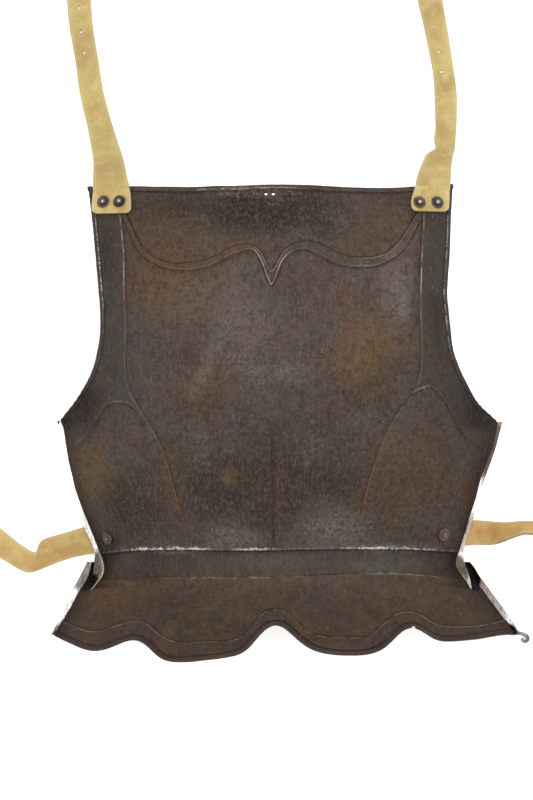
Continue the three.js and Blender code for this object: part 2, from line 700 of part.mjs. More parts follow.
// Cuts round holes through a sheet, each along the axis at its place.
function pierce(geometry, holes) {
  let solid = toManifold(geometry);
  for (const { at, axis, radius } of holes) {
    const drill = new THREE.CylinderGeometry(radius, radius, 24, 12);
    drill.applyQuaternion(new THREE.Quaternion().setFromUnitVectors(new THREE.Vector3(0, 1, 0), axis));
    drill.translate(at.x, at.y, at.z);
    solid = solid.subtract(toManifold(drill));
  }
  return toGeometry(solid);
}

function holeOnBody({ x, y }, radius) {
  const axis = normalAt(y, aroundAt(x, y, bodySideAt), bodySideAt);
  return { at: onBody(x, y, 0), axis, radius };
}

function plateGeometry() {
  const rivets = [...shoulderRivets.left, ...shoulderRivets.right, waistRivets.left, waistRivets.right];
  const holes = rivets.map((place) => holeOnBody(place, holeRadius));
  holes.push(...neckHoles.map((place) => holeOnBody(place, neckHoleRadius)));
  return pierce(sheetSolid(plateNets(), plateThickness), holes);
}

// How far the top of a shoulder strap stands above the bare plate: it lies on the arm band, and rides over
// the rolled edges of the neck and the armhole.
function strapLift(x, y, side) {
  const overNeck = fade(y, 96, 101.5);
  const toArm = side * (armholeAt[sideName(side)](y) - x);
  const overArm = 1 - fade(toArm, rollWidth, rollWidth + 6);
  return mix(armBandRise, rollRise, Math.max(overNeck, overArm)) + gap + strapThickness;
}

const neckY = { left: 105, right: 107 };

function shoulderStrapNet(side) {
  const shares = [-0.5, -0.17, 0.17, 0.5];
  const rows = shoulderStraps[sideName(side)];
  const edgeY = neckY[sideName(side)];
  const seat = rows.find((at) => at.y > edgeY);
  const lines = rows.map((at) =>
    shares.map((share) => {
      const x = at.x + share * at.width;
      if (at.y < edgeY) {
        return onBody(x, at.y, strapLift(x, at.y, side));
      }
      const seatX = seat.x + share * seat.width;
      const height = onBody(seatX, edgeY, strapLift(seatX, edgeY, side)).z - strapThickness;
      return new THREE.Vector3(x, at.y, strapThickness + height * Math.max(keptAt(at.y), 0));
    }),
  );
  return lines.reverse();
}

function shoulderStrapGeometry(side) {
  const name = sideName(side);
  const rivetHoles = shoulderRivets[name].map((place) => holeOnBody(place, holeRadius));
  const up = new THREE.Vector3(0, 0, 1);
  const punched = buckleHoles[name].map(({ x, y }) => {
    return { at: new THREE.Vector3(x, y, 0), axis: up, radius: buckleHoleRadius };
  });
  return pierce(sheetSolid([shoulderStrapNet(side)], strapThickness), [...rivetHoles, ...punched]);
}

// Five points across the strap at every section, and a middle section between each two outside the plate.
function waistStrapNet(side) {
  const name = sideName(side);
  const shares = [0, 0.25, 0.5, 0.75, 1];
  const inside = waistStrapsInside[name].map((at) =>
    shares.map((share) => {
      const y = mix(at.upperY, at.lowerY, share);
      const around = side * at.around;
      const normal = normalAt(y, around, bodySideAt);
      return bareAt(y, around, bodySideAt).addScaledVector(normal, -plateThickness - strapSlack);
    }),
  );
  const outside = waistStrapsOutside[name].map((at) => {
    const upper = new THREE.Vector3(...at.upper);
    const lower = new THREE.Vector3(...at.lower);
    return shares.map((share) => upper.clone().lerp(lower, share));
  });
  const lines = [...inside, ...outside];
  const across = shares.map((_, k) => lines.map((line) => line[k]));
  return side < 0 ? across.map((line) => line.reverse()) : across;
}

function waistStrapGeometry(side) {
  const hole = holeOnBody(waistRivets[sideName(side)], holeRadius);
  return pierce(sheetSolid([waistStrapNet(side)], strapThickness), [hole]);
}

function washerGeometry() {
  const profile = [
    [holeRadius, 0],
    [washer.radius, 0],
    [washer.radius, washer.thickness - 0.3],
    [washer.radius - 0.3, washer.thickness],
    [holeRadius, washer.thickness],
    [holeRadius, 0],
  ];
  return new THREE.LatheGeometry(profile.map(([r, h]) => new THREE.Vector2(r, h)), 14);
}

// A rivet: a domed head above its seat at height `top`, the shank, and the hammered tail below `bottom`.
function rivetGeometry(head, top, bottom) {
  const dome = [0, 0.33, 0.67, 1].map((share) => {
    const angle = (share * Math.PI) / 2;
    return [head.radius * Math.cos(angle), top + 0.3 + (head.height - 0.3) * Math.sin(angle)];
  });
  const profile = [
    [0, bottom - tailHead.height],
    [tailHead.radius * 0.8, bottom - tailHead.height],
    [tailHead.radius, bottom - 0.4],
    [tailHead.radius, bottom],
    [shankRadius, bottom],
    [shankRadius, top],
    [head.radius, top],
    ...dome.slice(0, -1),
    [0, top + head.height],
  ];
  return new THREE.LatheGeometry(profile.map(([r, h]) => new THREE.Vector2(r, h)), 12);
}

function finish(look) {
  return new THREE.MeshStandardMaterial(look);
}

function piece(name, geometry, look) {
  const mesh = new THREE.Mesh(geometry, finish(look));
  mesh.name = name;
  return mesh;
}

// Sets a turned piece on the plate, with its axis along the plate's normal and moved out by `lift`.
function seated(name, geometry, look, { x, y }, lift) {
  const mesh = piece(name, geometry, look);
  const normal = normalAt(y, aroundAt(x, y, bodySideAt), bodySideAt);
  mesh.quaternion.setFromUnitVectors(new THREE.Vector3(0, 1, 0), normal);
  mesh.position.copy(onBody(x, y, lift));
  return mesh;
}

function shoulderFastenings(side) {
  const group = new THREE.Group();
  const name = sideName(side);
  const strapTop = armBandRise + gap + strapThickness;
  const washerSeat = strapTop + headGap;
  const headSeat = washerSeat + washer.thickness + gap;
  const tailSeat = -plateThickness - gap - 0.3;
  shoulderRivets[name].forEach((place, i) => {
    const end = `${name}_${i + 1}`;
    group.add(seated(`shoulder_washer_${end}`, washerGeometry(), brownedIron, place, washerSeat));
    const rivet = rivetGeometry(shoulderHead, headSeat, tailSeat);
    group.add(seated(`shoulder_rivet_${end}`, rivet, brownedIron, place, 0));
  });
  return group;
}

function waistFastening(side) {
  const name = sideName(side);
  const tailSeat = -plateThickness - strapSlack - strapThickness - gap - 0.3;
  const rivet = rivetGeometry(waistHead, headGap, tailSeat);
  return seated(`waist_rivet_${name}`, rivet, brownedIron, waistRivets[name], 0);
}

const backplate = new THREE.Group();
backplate.add(piece('back_plate', plateGeometry(), blackSteel));
for (const side of [-1, 1]) {
  const name = sideName(side);
  backplate.add(piece(`shoulder_strap_${name}`, shoulderStrapGeometry(side), buffLeather));
  backplate.add(piece(`waist_strap_${name}`, waistStrapGeometry(side), buffLeather));
  backplate.add(shoulderFastenings(side));
  backplate.add(waistFastening(side));
}

export default backplate;
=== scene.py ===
import math
from functools import partial

import bmesh
import bpy
import numpy as np
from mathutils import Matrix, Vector, kdtree


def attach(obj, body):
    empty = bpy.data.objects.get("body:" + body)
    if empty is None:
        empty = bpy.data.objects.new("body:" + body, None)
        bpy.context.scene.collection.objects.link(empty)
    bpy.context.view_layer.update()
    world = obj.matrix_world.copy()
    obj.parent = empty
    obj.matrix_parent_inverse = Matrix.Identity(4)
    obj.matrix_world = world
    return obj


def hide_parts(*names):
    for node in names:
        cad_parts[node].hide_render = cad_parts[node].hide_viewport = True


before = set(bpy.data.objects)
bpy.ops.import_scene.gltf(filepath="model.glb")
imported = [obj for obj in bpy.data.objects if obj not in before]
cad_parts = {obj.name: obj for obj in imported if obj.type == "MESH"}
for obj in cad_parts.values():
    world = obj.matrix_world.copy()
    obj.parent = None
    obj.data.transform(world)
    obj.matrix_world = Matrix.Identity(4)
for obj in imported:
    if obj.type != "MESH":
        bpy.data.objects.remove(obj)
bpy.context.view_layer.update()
rng = np.random.default_rng(1590)

# Ground, light and camera.
# A plain pale table, a large soft box straight overhead and a fill from all round; the camera looks
# straight down through a long lens.
mm = 0.001


def plug(into, value):
    """Links a wire to an input, or gives the input a plain value."""
    if isinstance(value, Wire):
        value.tree.links.new(value.socket, into)
    else:
        into.default_value = value


class Wire:
    """A shader socket that can be used in sums, so that 1 - mask adds the Math node it needs."""

    def __init__(self, tree, socket):
        self.tree, self.socket = tree, socket

    def node(self, kind, settings=None, output=0, **sockets):
        """Adds any node; s0 and s1 stand for its first inputs, and other names for its labels."""
        made = self.tree.nodes.new(kind)
        for name, value in (settings or {}).items():
            setattr(made, name, value)
        for name, value in sockets.items():
            plug(made.inputs[int(name[1:]) if name[1:].isdigit() else name], value)
        return Wire(self.tree, made.outputs[output])

    def maths(self, operation, *values):
        return self.node("ShaderNodeMath", {"operation": operation}, **{f"s{i}": v for i, v in enumerate(values)})

    def __add__(self, other):
        return self.maths("ADD", self, other)

    def __sub__(self, other):
        return self.maths("SUBTRACT", self, other)

    def __mul__(self, other):
        return self.maths("MULTIPLY", self, other)

    def __radd__(self, other):
        return self.maths("ADD", other, self)

    def __rsub__(self, other):
        return self.maths("SUBTRACT", other, self)

    def kept(self, low=0.0, high=1.0):
        """This value held between two numbers."""
        return self.maths("MAXIMUM", self.maths("MINIMUM", self, high), low)

    def ramp(self, low, high):
        """0 below one value, 1 above the other, and smooth between them."""
        return self.node("ShaderNodeMapRange", {"interpolation_type": "SMOOTHSTEP"}, s0=self, s1=low, s2=high)

    def tint(self, mask, colour):
        """This colour turned towards another where the mask is 1."""
        other = colour if isinstance(colour, Wire) else (*colour, 1)
        return self.node("ShaderNodeMix", {"data_type": "RGBA"}, 2, s0=mask, s6=self, s7=other)

    def blend(self, low, high):
        """One colour where this is 0, turning to another where it is 1."""
        return self.node("ShaderNodeMix", {"data_type": "RGBA"}, 2, s0=self, s6=(*low, 1), s7=(*high, 1))

    def stretched(self, scale, turn=0.0):
        """This position turned about Z, in degrees, and stretched."""
        return self.node("ShaderNodeMapping", None, s0=self, s2=(0, 0, math.radians(turn)), s3=scale)

    def patch(self, centre, size, turn=0.0, core=0.0, edge=0.0):
        """1 at the core of an oval given in millimetres by its centre and half sizes, and 0 outside it."""
        middle, half = [(v[0] * mm, v[1] * mm, d) for v, d in ((centre, 0), (size, 1000))]
        sockets = {"s0": self, "s1": middle, "s2": (0, 0, math.radians(turn)), "s3": half}
        local = self.node("ShaderNodeMapping", {"vector_type": "TEXTURE"}, **sockets)
        nearness = local.node("ShaderNodeTexGradient", {"gradient_type": "SPHERICAL"}, 1, s0=local)
        return (nearness - edge).ramp(0, 1 - core)

    def feature(self, name):
        """A measure kept on the mesh's points, such as how worn a place is."""
        return self.node("ShaderNodeAttribute", {"attribute_name": name}, 2)

    def noise(self, size, detail=3.0, roughness=0.55, distortion=0.0):
        """Cloudy noise whose patches are about `size` metres across."""
        sockets = {"s0": self, "s2": 1 / size, "s3": detail, "s4": roughness, "s8": distortion}
        return self.node("ShaderNodeTexNoise", None, **sockets)


def new_finish(name):
    """A material with one Principled shader, and the object's own position to build its finish from."""
    material = bpy.data.materials.new(name)
    material.use_nodes = True
    tree = material.node_tree
    shader = tree.nodes["Principled BSDF"]
    place = Wire(tree, tree.nodes.new("ShaderNodeTexCoord").outputs["Object"])
    return material, shader, place


def paint(red, green, blue, share=1.0):
    """A screen colour, from 0 to 255, as the light it stands for."""
    light = [(c / 255 + 0.055) / 1.055 for c in (red, green, blue)]
    return tuple(share * c**2.4 for c in light)


def feed(shader, **sockets):
    for name, value in sockets.items():
        plug(shader.inputs[name.replace("_", " ")], value)


def bump(height, strength, distance):
    return height.node("ShaderNodeBump", None, Strength=strength, Distance=distance, Height=height)


def in_scene(name, data):
    """A new object of the scene."""
    made = bpy.data.objects.new(name, data)
    bpy.context.collection.objects.link(made)
    return made


table_size, table_drop = 6.0, 0.0004
bpy.ops.mesh.primitive_plane_add(size=table_size, location=(0, 0, -table_drop))
table_top = bpy.context.object
table_top.name = "table_top"
table_finish, shader, place = new_finish("table_paper")
fibre = place.noise(0.0009, detail=2)
paper = (fibre.ramp(0.3, 0.8) * 0.04).blend((0.94, 0.94, 0.94), (0.86, 0.86, 0.86))
feed(shader, Base_Color=paper, Roughness=0.85, Emission_Color=(1, 1, 1, 1), Emission_Strength=0.14)
table_top.data.materials.append(table_finish)

# The tent round the table is brightest overhead, so the plate's sloping sides are darker than its middle.
world = bpy.data.worlds.new("studio")
bpy.context.scene.world = world
world.use_nodes = True
tent = world.node_tree.nodes["Background"]
heading = Wire(world.node_tree, world.node_tree.nodes.new("ShaderNodeTexCoord").outputs["Generated"])
upward = heading.node("ShaderNodeSeparateXYZ", None, 2, s0=heading)
tent_wall, tent_roof = 0.85, 2.35
tent.inputs["Color"].default_value = (1, 0.995, 0.98, 1)
feed(tent, Strength=upward.kept() * upward.kept() * (tent_roof - tent_wall) + tent_wall)

soft_boxes = {
    "key": {"at": (0.55, 0.75, 2.0), "size": 1.3, "power": 28},
    "fill": {"at": (-1.5, -0.5, 1.4), "size": 1.4, "power": 8},
}
for name, light in soft_boxes.items():
    lamp = bpy.data.lights.new(name, "AREA")
    lamp.shape, lamp.size, lamp.energy = "SQUARE", light["size"], light["power"]
    holder = in_scene(name, lamp)
    holder.location = light["at"]
    holder.rotation_euler = (-Vector(light["at"])).to_track_quat("-Z", "Y").to_euler()

camera_height = 3.0
view_middle = (-0.00836, -0.0783)
view_length = 0.704
camera = bpy.data.cameras.new("camera")
camera.sensor_fit = "AUTO"
camera.sensor_width = 36
camera.lens = camera.sensor_width * camera_height / view_length
camera_holder = in_scene("camera", camera)
camera_holder.location = (*view_middle, camera_height)
bpy.context.scene.camera = camera_holder
bpy.context.scene.view_settings.view_transform = "Standard"

# Back plate.
# One sheet of steel, raised by hammer over a stake to the back's shape, with its lines embossed from the
# inside, its neck, arm and skirt edges rolled over, and its side edges turned out into narrow flanges.
plate_thickness = 1.6
spine_x = -3.0
roll_width, roll_height = 4.6, 2.1
arm_band_rise, ridge_rise, border_rise = 0.9, 1.2, 0.9
spine_depth, waist_depth = 1.2, 3.4
armpit_y = -97.0
right_armpit_lower = 1.7
notch_share = {-1: 158.6 / 168.4, 1: 173.4 / 183.5}

crown = {
    "y": [112, 104, 79, 40, 6, -28, -78, -129, -181, -208, -220, -232, -249, -269, -293, -303],
    "height": [88, 92, 104, 118, 125, 126, 119, 106, 92, 86, 84, 84, 91, 104, 122, 129],
    "fullness": [2.3, 2.3, 2.32, 2.38, 2.4, 2.4, 2.36, 2.28, 2.12, 2.04, 2.02, 2, 2, 2, 2, 2],
}
body_side = {
    "y": [112, 40, -28, -78, -97, -121, -147, -175, -197, -213, -223, -232, -243.4],
    "left": [-212, -205, -197, -191, -187, -183, -177.4, -168.7, -160.3, -154, -150.5, -151.8, -161.6],
    "right": [203, 197, 195, 194, 193, 188.5, 179.3, 171, 164.5, 159.6, 157.6, 162.5, 170.4],
    "base": [4.4, 4.4, 4.4, 4.4, 4.4, 6.5, 8.5, 10, 11.5, 15, 21, 28, 35.6],
    "flange_left": [5.4, 5.4, 5.4, 5.4, 5.4, 5.2, 5.2, 5.2, 5, 4.8, 9, 8, 0],
    "flange_right": [4.9, 4.9, 4.9, 4.9, 4.9, 4.4, 4.2, 4.2, 4.2, 4.6, 8, 6, 0],
}
skirt_side = {
    "y": [-236, -243.4, -262, -283, -303],
    "left": [-167.4, -171.4, -181.5, -192.9, -203.6],
    "right": [176, 180.5, 194.1, 209.7, 224],
    "base": [12, 10, 6.6, 4.3, 3.4],
    "flange_left": [6.5, 6.5, 5, 4, 4],
    "flange_right": [5, 6, 6.2, 5, 4],
}
armhole = {
    "y": [108, 78, 36, 8, -18, -35, -52, -68, -83, -94, -98.7],
    "left": [-162.3, -158.2, -153.5, -150.6, -149.8, -152.2, -156.6, -165.3, -175.9, -185.4, -189],
    "right": [152, 149.8, 147.4, 145.8, 148.3, 151, 157, 165, 175.6, 188.2, 193.2],
}
band_line = {
    "y": [108, 79, 48, 15, -14, -50, -68, -84, -110, -136, -166, -196, -232, -262, -296],
    "left": [-134, -133, -129.6, -129, -128, -128, -125.6, -117.4, -101.8, -91.9, -84, -77, -80, -92, -103],
    "right": [127, 125.5, 123.5, 122.4, 122.1, 123, 118.4, 107.4, 91.8, 82.3, 74.4, 71, 74, 88, 100],
}
neck_line = {
    "x": [-165, -122, -65, -2, 80, 118, 155],
    "edge": [105, 104.8, 103.9, 105.4, 103.3, 104.4, 107.4],
}
ridge = {
    "x": [-160, -128, -121, -113, -101, -86, -70, -54, -42, -30, -18, -11, -4.8, 3, 11, 23, 39, 54, 70, 86,
          99, 110, 121, 150],
    "upper": [86, 80, 63, 50, 41, 37, 37.8, 42, 49, 53, 51.4, 43, 31.5, 42.4, 51.6, 56.2, 52.7, 44.6, 41.9,
              43.5, 50.4, 64, 82, 89],
    "lower": [76, 71, 55, 44, 36.4, 31.8, 31.8, 36.2, 42.4, 47.4, 47, 34, 19, 34.6, 45.2, 49.4, 42.7, 35.6,
              34.2, 35.8, 42.2, 52.6, 72.5, 79],
}
waist = {
    "x": [-160, -126, -65, 0, 80, 136, 168],
    "top": [-214, -209, -207.3, -207, -206.5, -209, -213],
    "low": [-234.6, -231.6, -230.1, -229.4, -226.6, -229.6, -234.8],
    "flare": [-243.4, -240, -237, -236, -234.6, -238, -243.4],
}
scallop = {
    "x": [-200, -179, -158, -141, -122, -111, -101, -83, -62, -39, -25, -12, -1, 9, 22, 38, 62, 81, 93, 104,
          115, 124, 135, 151, 174, 203, 221],
    "edge": [-283.4, -288.6, -293.6, -289.6, -282.7, -287, -295.4, -300, -298.2, -295, -289, -275.6, -269.4,
             -273.5, -284.4, -292, -294.3, -293, -288, -278.6, -273, -275.6, -282.2, -284.8, -283.9, -282.6,
             -286.4],
    "line": [-270.6, -273.6, -277.6, -273.2, -267.5, -269.4, -277, -284, -283.4, -282, -275.6, -260.4,
             -256.4, -259.2, -270.8, -278.6, -279.6, -277.6, -268, -260.8, -260, -262.6, -269.4, -273,
             -273.2, -270.8, -271.6],
}


class Curve:
    """A smooth line through one named column of a table."""

    def __init__(self, table, key, column):
        order = np.argsort(table[key])
        self.at = np.array(table[key], float)[order]
        self.value = np.array(table[column], float)[order]
        step = np.diff(self.at)
        slope = np.diff(self.value) / step
        count = len(self.at)
        system = np.eye(count)
        turn = np.zeros(count)
        for i in range(1, count - 1):
            system[i, i - 1 : i + 2] = step[i - 1], 2 * (step[i - 1] + step[i]), step[i]
            turn[i] = 6 * (slope[i] - slope[i - 1])
        self.bend = np.linalg.solve(system, turn)

    def __call__(self, t):
        t = np.clip(t, self.at[0], self.at[-1])
        i = np.clip(np.searchsorted(self.at, t) - 1, 0, len(self.at) - 2)
        span = self.at[i + 1] - self.at[i]
        b = (t - self.at[i]) / span
        a = 1 - b
        cubic = ((a**3 - a) * self.bend[i] + (b**3 - b) * self.bend[i + 1]) * span**2 / 6
        return a * self.value[i] + b * self.value[i + 1] + cubic


def curves(table, key):
    return {column: Curve(table, key, column) for column in table if column != key}


def fade(t, low, high):
    share = np.clip((np.asarray(t, float) - low) / (high - low), 0, 1)
    return share * share * (3 - 2 * share)


def mix(a, b, share):
    return a + (b - a) * share


crown_at = curves(crown, "y")
body_at = curves(body_side, "y")
skirt_at = curves(skirt_side, "y")
arm_at = curves(armhole, "y")
band_at = curves(band_line, "y")
neck_at = curves(neck_line, "x")
ridge_at = curves(ridge, "x")
waist_at = curves(waist, "x")
scallop_at = curves(scallop, "x")
side_name = {-1: "left", 1: "right"}


def on_side(table, side, y):
    """A table's left or right column at y, by the sign of side."""
    return np.where(side < 0, table["left"](y), table["right"](y))


def half_width(y, side, side_at):
    return side * (on_side(side_at, side, y) - spine_x)


def bare(y, around, side_at):
    """The bare plate at a place around its cross-section: -1 and 1 are the side lines and 0 the spine."""
    side = np.where(around < 0, -1, 1)
    angle = np.abs(around) * math.pi / 2
    power = 2 / crown_at["fullness"](y)
    base = side_at["base"](y)
    x = spine_x + side * half_width(y, side, side_at) * np.sin(angle) ** power
    z = base + (crown_at["height"](y) - base) * np.maximum(np.cos(angle), 0) ** power
    return np.stack([x, y + 0 * x, z], -1)


def around_at(x, y, side_at):
    side = np.where(x < spine_x, -1, 1)
    share = np.minimum(np.abs(x - spine_x) / half_width(y, side, side_at), 1)
    return side * np.arcsin(share ** (crown_at["fullness"](y) / 2)) * 2 / math.pi


def on_bare(x, y, side_at):
    """The bare plate's places over these x and y."""
    return bare(y, around_at(x, y, side_at), side_at)


def unit(vectors):
    return vectors / np.linalg.norm(vectors, axis=-1, keepdims=True)


def normal_at(y, around, side_at):
    step = 0.004
    reach = np.clip(around, step - 1, 1 - step)
    across = bare(y, reach + step, side_at) - bare(y, reach - step, side_at)
    along = bare(y + 1, reach, side_at) - bare(y - 1, reach, side_at)
    return unit(np.cross(across, along))


def on_body(x, y, lift):
    around = around_at(x, y, body_at)
    return bare(y, around, body_at) + normal_at(y, around, body_at) * np.asarray(lift)[..., None]


def shares(count, low=0.0, high=1.0):
    """Shares spread evenly from one number up to, but not including, another."""
    return list(low + (high - low) * np.arange(count) / count)


def along_line(points, places):
    """Distance from each place to a line through these points, in millimetres."""
    tree = kdtree.KDTree(len(points))
    for i, point in enumerate(points):
        tree.insert(point, i)
    tree.balance()
    return np.array([tree.find(place)[2] for place in places.reshape(-1, 3)]).reshape(places.shape[:-1])


def lengths(points):
    """How far along a line each of its points lies."""
    return np.concatenate([[0], np.cumsum(np.linalg.norm(np.diff(points, axis=0), axis=1))])


def line_on_body(xy):
    """Points along a smooth line on the bare plate, given by x and y."""
    xy = np.asarray(xy, float)
    smooth = {"s": lengths(xy), "x": xy[:, 0], "y": xy[:, 1]}
    s = np.arange(0, smooth["s"][-1], line_step)
    return on_bare(Curve(smooth, "s", "x")(s), Curve(smooth, "s", "y")(s), body_at)


# The armholes' edges as points in space, which their rolls follow.
line_step = 0.5
arm_y = np.arange(110, -98, -line_step)
arm_line = {side: on_bare(arm_at[side_name[side]](arm_y), arm_y, body_at) for side in (-1, 1)}


def roll_inset(y, side, inset):
    """The place around the section, at this y, that is `inset` from the armhole's edge."""
    edge = abs(float(around_at(arm_at[side_name[side]](y), y, body_at)))
    trial = edge - np.linspace(0, 0.16, 60)
    places = bare(np.full(trial.shape, y), side * trial, body_at)
    gap = np.linalg.norm(places[:, None] - arm_line[side][None], axis=2).min(1)
    gap[0] = 0
    return np.interp(inset, np.maximum.accumulate(gap), trial)


roll_columns = 9
wall_columns = 41
band_steps = [1.9, 0.9, 0.25, -0.35, -1.1, -2.1]
panel_shares = shares(26, 0.965, 0.26)[1:] + shares(15, 0.26, 0.03)
spine_steps = [2.4, 1.5, 0.7]
roll_profile = (1 - np.cos(np.linspace(0, math.pi, roll_columns))) / 2


def inner_places(y, side, outermost, side_at):
    """Places of the wall, band line, panel and spine columns, from `outermost` in to the spine."""
    line = band_at[side_name[side]](y)
    half_band = abs(line - spine_x)
    place = lambda x: float(np.abs(around_at(np.array(x), np.array(y), side_at)))
    band = [place(line + side * step) for step in band_steps]
    wall = [mix(outermost, band[0], k / wall_columns) for k in range(1, wall_columns)]
    panel = [place(spine_x + side * half_band * share) for share in panel_shares]
    spine = [place(spine_x + side * step) for step in spine_steps]
    return wall + band + panel + spine


flange_shares = [1, 0.93, 0.8, 0.6, 0.4, 0.2, 0.08, 0.02, 0]


def body_places(y, side):
    """Places around the section; above 1 a place is a share of the flange outside the side line."""
    if y > armpit_y - right_armpit_lower * (side > 0):
        narrowed = min(1, 0.45 + (y - armpit_y) / 14)  # the roll thins out towards the armpit's corner
        inset = roll_width * roll_profile * narrowed
        outer = list(roll_inset(y, side, inset))
    else:
        outer = [1 + share for share in flange_shares]
    return outer + inner_places(y, side, min(outer[-1], 1), body_at)


def skirt_places(y, side):
    """The same for the skirt, with columns close on both sides of the notch's end."""
    half = float(half_width(np.array(y), np.array(side), skirt_at))
    notch = float(np.abs(around_at(np.array(spine_x + side * half * notch_share[side]), np.array(y), skirt_at)))
    outside, inside = notch + 0.022, notch - 0.012
    outer = [1 + share for share in flange_shares]
    lower = [mix(1, outside, k / 6) for k in range(1, 6)] + [outside]
    return outer + lower + [notch, inside] + inner_places(y, side, inside, skirt_at)[1:]


# Rows of the plate's net, each a line across the plate: y as a function of x.
def between(from_line, to_line, portion):
    return lambda x: mix(from_line(x), to_line(x), portion)


def shifted(line, by):
    return lambda x: line(x) + by


def level(y):
    """A level row, which dips on the right towards the lower armpit."""
    return lambda x: y - right_armpit_lower * fade(-y, 40, 97) * np.maximum(x / 193, 0) + 0 * x


def beside(line, steps):
    """Rows at these distances from a line."""
    return [shifted(line, step) for step in steps]


def spread(from_line, to_line, portions):
    return [between(from_line, to_line, portion) for portion in portions]


neck_edge = neck_at["edge"]
neck_inner = shifted(neck_edge, -roll_width)
over_line, under_line = 1.7, -1.5
fine_steps = [over_line, 0.8, 0.3, -0.2, -0.7, under_line]
ridge_upper, ridge_lower = ridge_at["upper"], ridge_at["lower"]
band_top, band_low = waist_at["top"], waist_at["low"]
arch_top = -58
body_rows = beside(neck_edge, -roll_width * roll_profile)
body_rows += spread(neck_inner, shifted(ridge_upper, over_line), shares(28)[1:])
body_rows += beside(ridge_upper, fine_steps[:5]) + spread(ridge_upper, ridge_lower, (0.28, 0.5, 0.72))
body_rows += beside(ridge_lower, fine_steps[1:])
body_rows += spread(shifted(ridge_lower, under_line), level(6), shares(24)[1:])
body_rows += [level(y) for y in [*np.linspace(6, arch_top, 28)[:-1], *np.linspace(arch_top, armpit_y, 36)]]
body_rows += spread(level(armpit_y), shifted(band_top, over_line), shares(46)[1:])
body_rows += beside(band_top, [over_line, 1.1, 0.6, 0.2, -0.1, -0.5, -1, -over_line])
body_rows += spread(shifted(band_top, -over_line), shifted(band_low, over_line), shares(8)[1:])
body_rows += beside(band_low, fine_steps)
flare_start = len(body_rows)
flare_shares = [0.2, 0.4, 0.6, 0.8, 1]
body_rows += spread(shifted(band_low, under_line), waist_at["flare"], flare_shares)

border, rim = scallop_at["line"], scallop_at["edge"]
skirt_rows = spread(waist_at["flare"], shifted(border, over_line), shares(15)) + beside(border, fine_steps)
skirt_rows += spread(shifted(border, under_line), shifted(rim, roll_width), shares(6)[1:])
skirt_rows += beside(rim, roll_width * roll_profile[::-1])


def place_table(places, low, high, side):
    """The columns' places at every small step of y."""
    at = np.arange(low, high + line_step, line_step)
    return at, np.array([places(y, side) for y in at])


settling_rounds = 24


def net_half(rows, table, side, side_at):
    """y and place of every row and column on one side of the spine."""
    at, columns = table
    count = columns.shape[1]

    def places_at(y):
        t = np.clip((y - at[0]) / line_step, 0, len(at) - 1.001)
        i = t.astype(int)
        return mix(columns[i, np.arange(count)], columns[i + 1, np.arange(count)], t - i)

    y = np.array([np.full(count, float(row(np.zeros(1))[0])) for row in rows])
    for _ in range(settling_rounds):
        for r, row in enumerate(rows):
            x = bare(y[r], side * np.minimum(places_at(y[r]), 1), side_at)[:, 0]
            y[r] = mix(y[r], row(x), 0.7)
    return y, side * np.array([places_at(line) for line in y])


def whole_net(rows, places, side_at, low, high):
    """The net from the left edge over the spine to the right edge."""
    halves = [net_half(rows, place_table(places, low, high, side), side, side_at) for side in (-1, 1)]
    spine_y = np.array([float(row(np.full(1, spine_x))[0]) for row in rows])[:, None]
    y = np.hstack([halves[0][0], spine_y, halves[1][0][:, ::-1]])
    around = np.hstack([halves[0][1], 0 * spine_y + 1e-6, halves[1][1][:, ::-1]])
    return y, around


flange_drop = 2.6
right_horn = {"y": -99, "length": 6, "out": 2.4, "up": 4.6}


def bare_net(y, around, side_at):
    """Places and outward normals of the bare plate and its flanges."""
    side = np.where(around < 0, -1, 1)
    within = np.clip(around, -1, 1)
    places, normals = bare(y, within, side_at), normal_at(y, within, side_at)
    flange = np.clip(np.abs(around) - 1, 0, 1)
    width = np.where(side < 0, side_at["flange_left"](y), side_at["flange_right"](y))
    places[..., 0] += side * width * flange
    places[..., 2] -= flange_drop * flange * np.minimum(width / 4, 1)
    horn = (side > 0) * flange**2 * groove(np.minimum(y - right_horn["y"], 0), right_horn["length"])
    places[..., 0] += right_horn["out"] * horn
    places[..., 1] += right_horn["up"] * horn
    upward = fade(flange, 0, 0.12)[..., None] * 0.5 + 0.5 * (np.abs(around) >= 1)[..., None]
    up = np.stack([0.25 * side, 0 * side, np.ones(side.shape)], -1)
    return places, unit(mix(normals, up, upward))


def roll_rise(d, sunk):
    """Height of a rolled edge at a distance from the edge; far below zero away from the roll."""
    half = roll_width / 2
    share = np.clip((d - half) / half, -1, 1)
    arch = np.sqrt(1 - share**2)
    height = np.where(share > 0, roll_height * arch, (roll_height + sunk) * arch - sunk)
    return np.where(d < roll_width, height, -9)


def groove(d, width):
    return np.exp(-((d / width) ** 2))


# Where features lie on the plate, and how far each place is from them.
def across_line(line, x, y):
    """Signed distance above a line that runs across the plate."""
    slope = line(x + 0.5) - line(x - 0.5)
    return (y - line(x)) / np.sqrt(1 + slope**2)


scapular_lines = [
    [(-153, -50), (-146, -57.5), (-138, -63.5), (-129.6, -68)],
    [(149, -41), (143, -47), (135.5, -52.5), (129, -57), (123, -62.5), (118, -68)],
]
underarm_lines = [
    [(-172, -121), (-163, -110.5), (-156, -100.6), (-151.5, -93), (-147.7, -87), (-143, -82.5), (-136.7, -80.3),
     (-129, -80.3), (-124, -83), (-119.7, -87), (-115, -96), (-109, -102)],
    [(108, -83), (111.5, -78), (115, -73.6), (122, -69.5), (131, -67.5), (139, -73.5), (143.5, -80),
     (147.7, -87), (152.5, -96), (158, -105), (169.7, -115), (180, -121.5)],
]
wave_sizes = [(95, 0.4), (80, 0.35), (62, 0.3), (48, 0.22), (38, 0.16), (30, 0.12), (24, 0.1), (19, 0.08)]
uneven = [(rng.normal(size=2), rng.uniform(0, 2 * math.pi), size, rise) for size, rise in wave_sizes * 2]


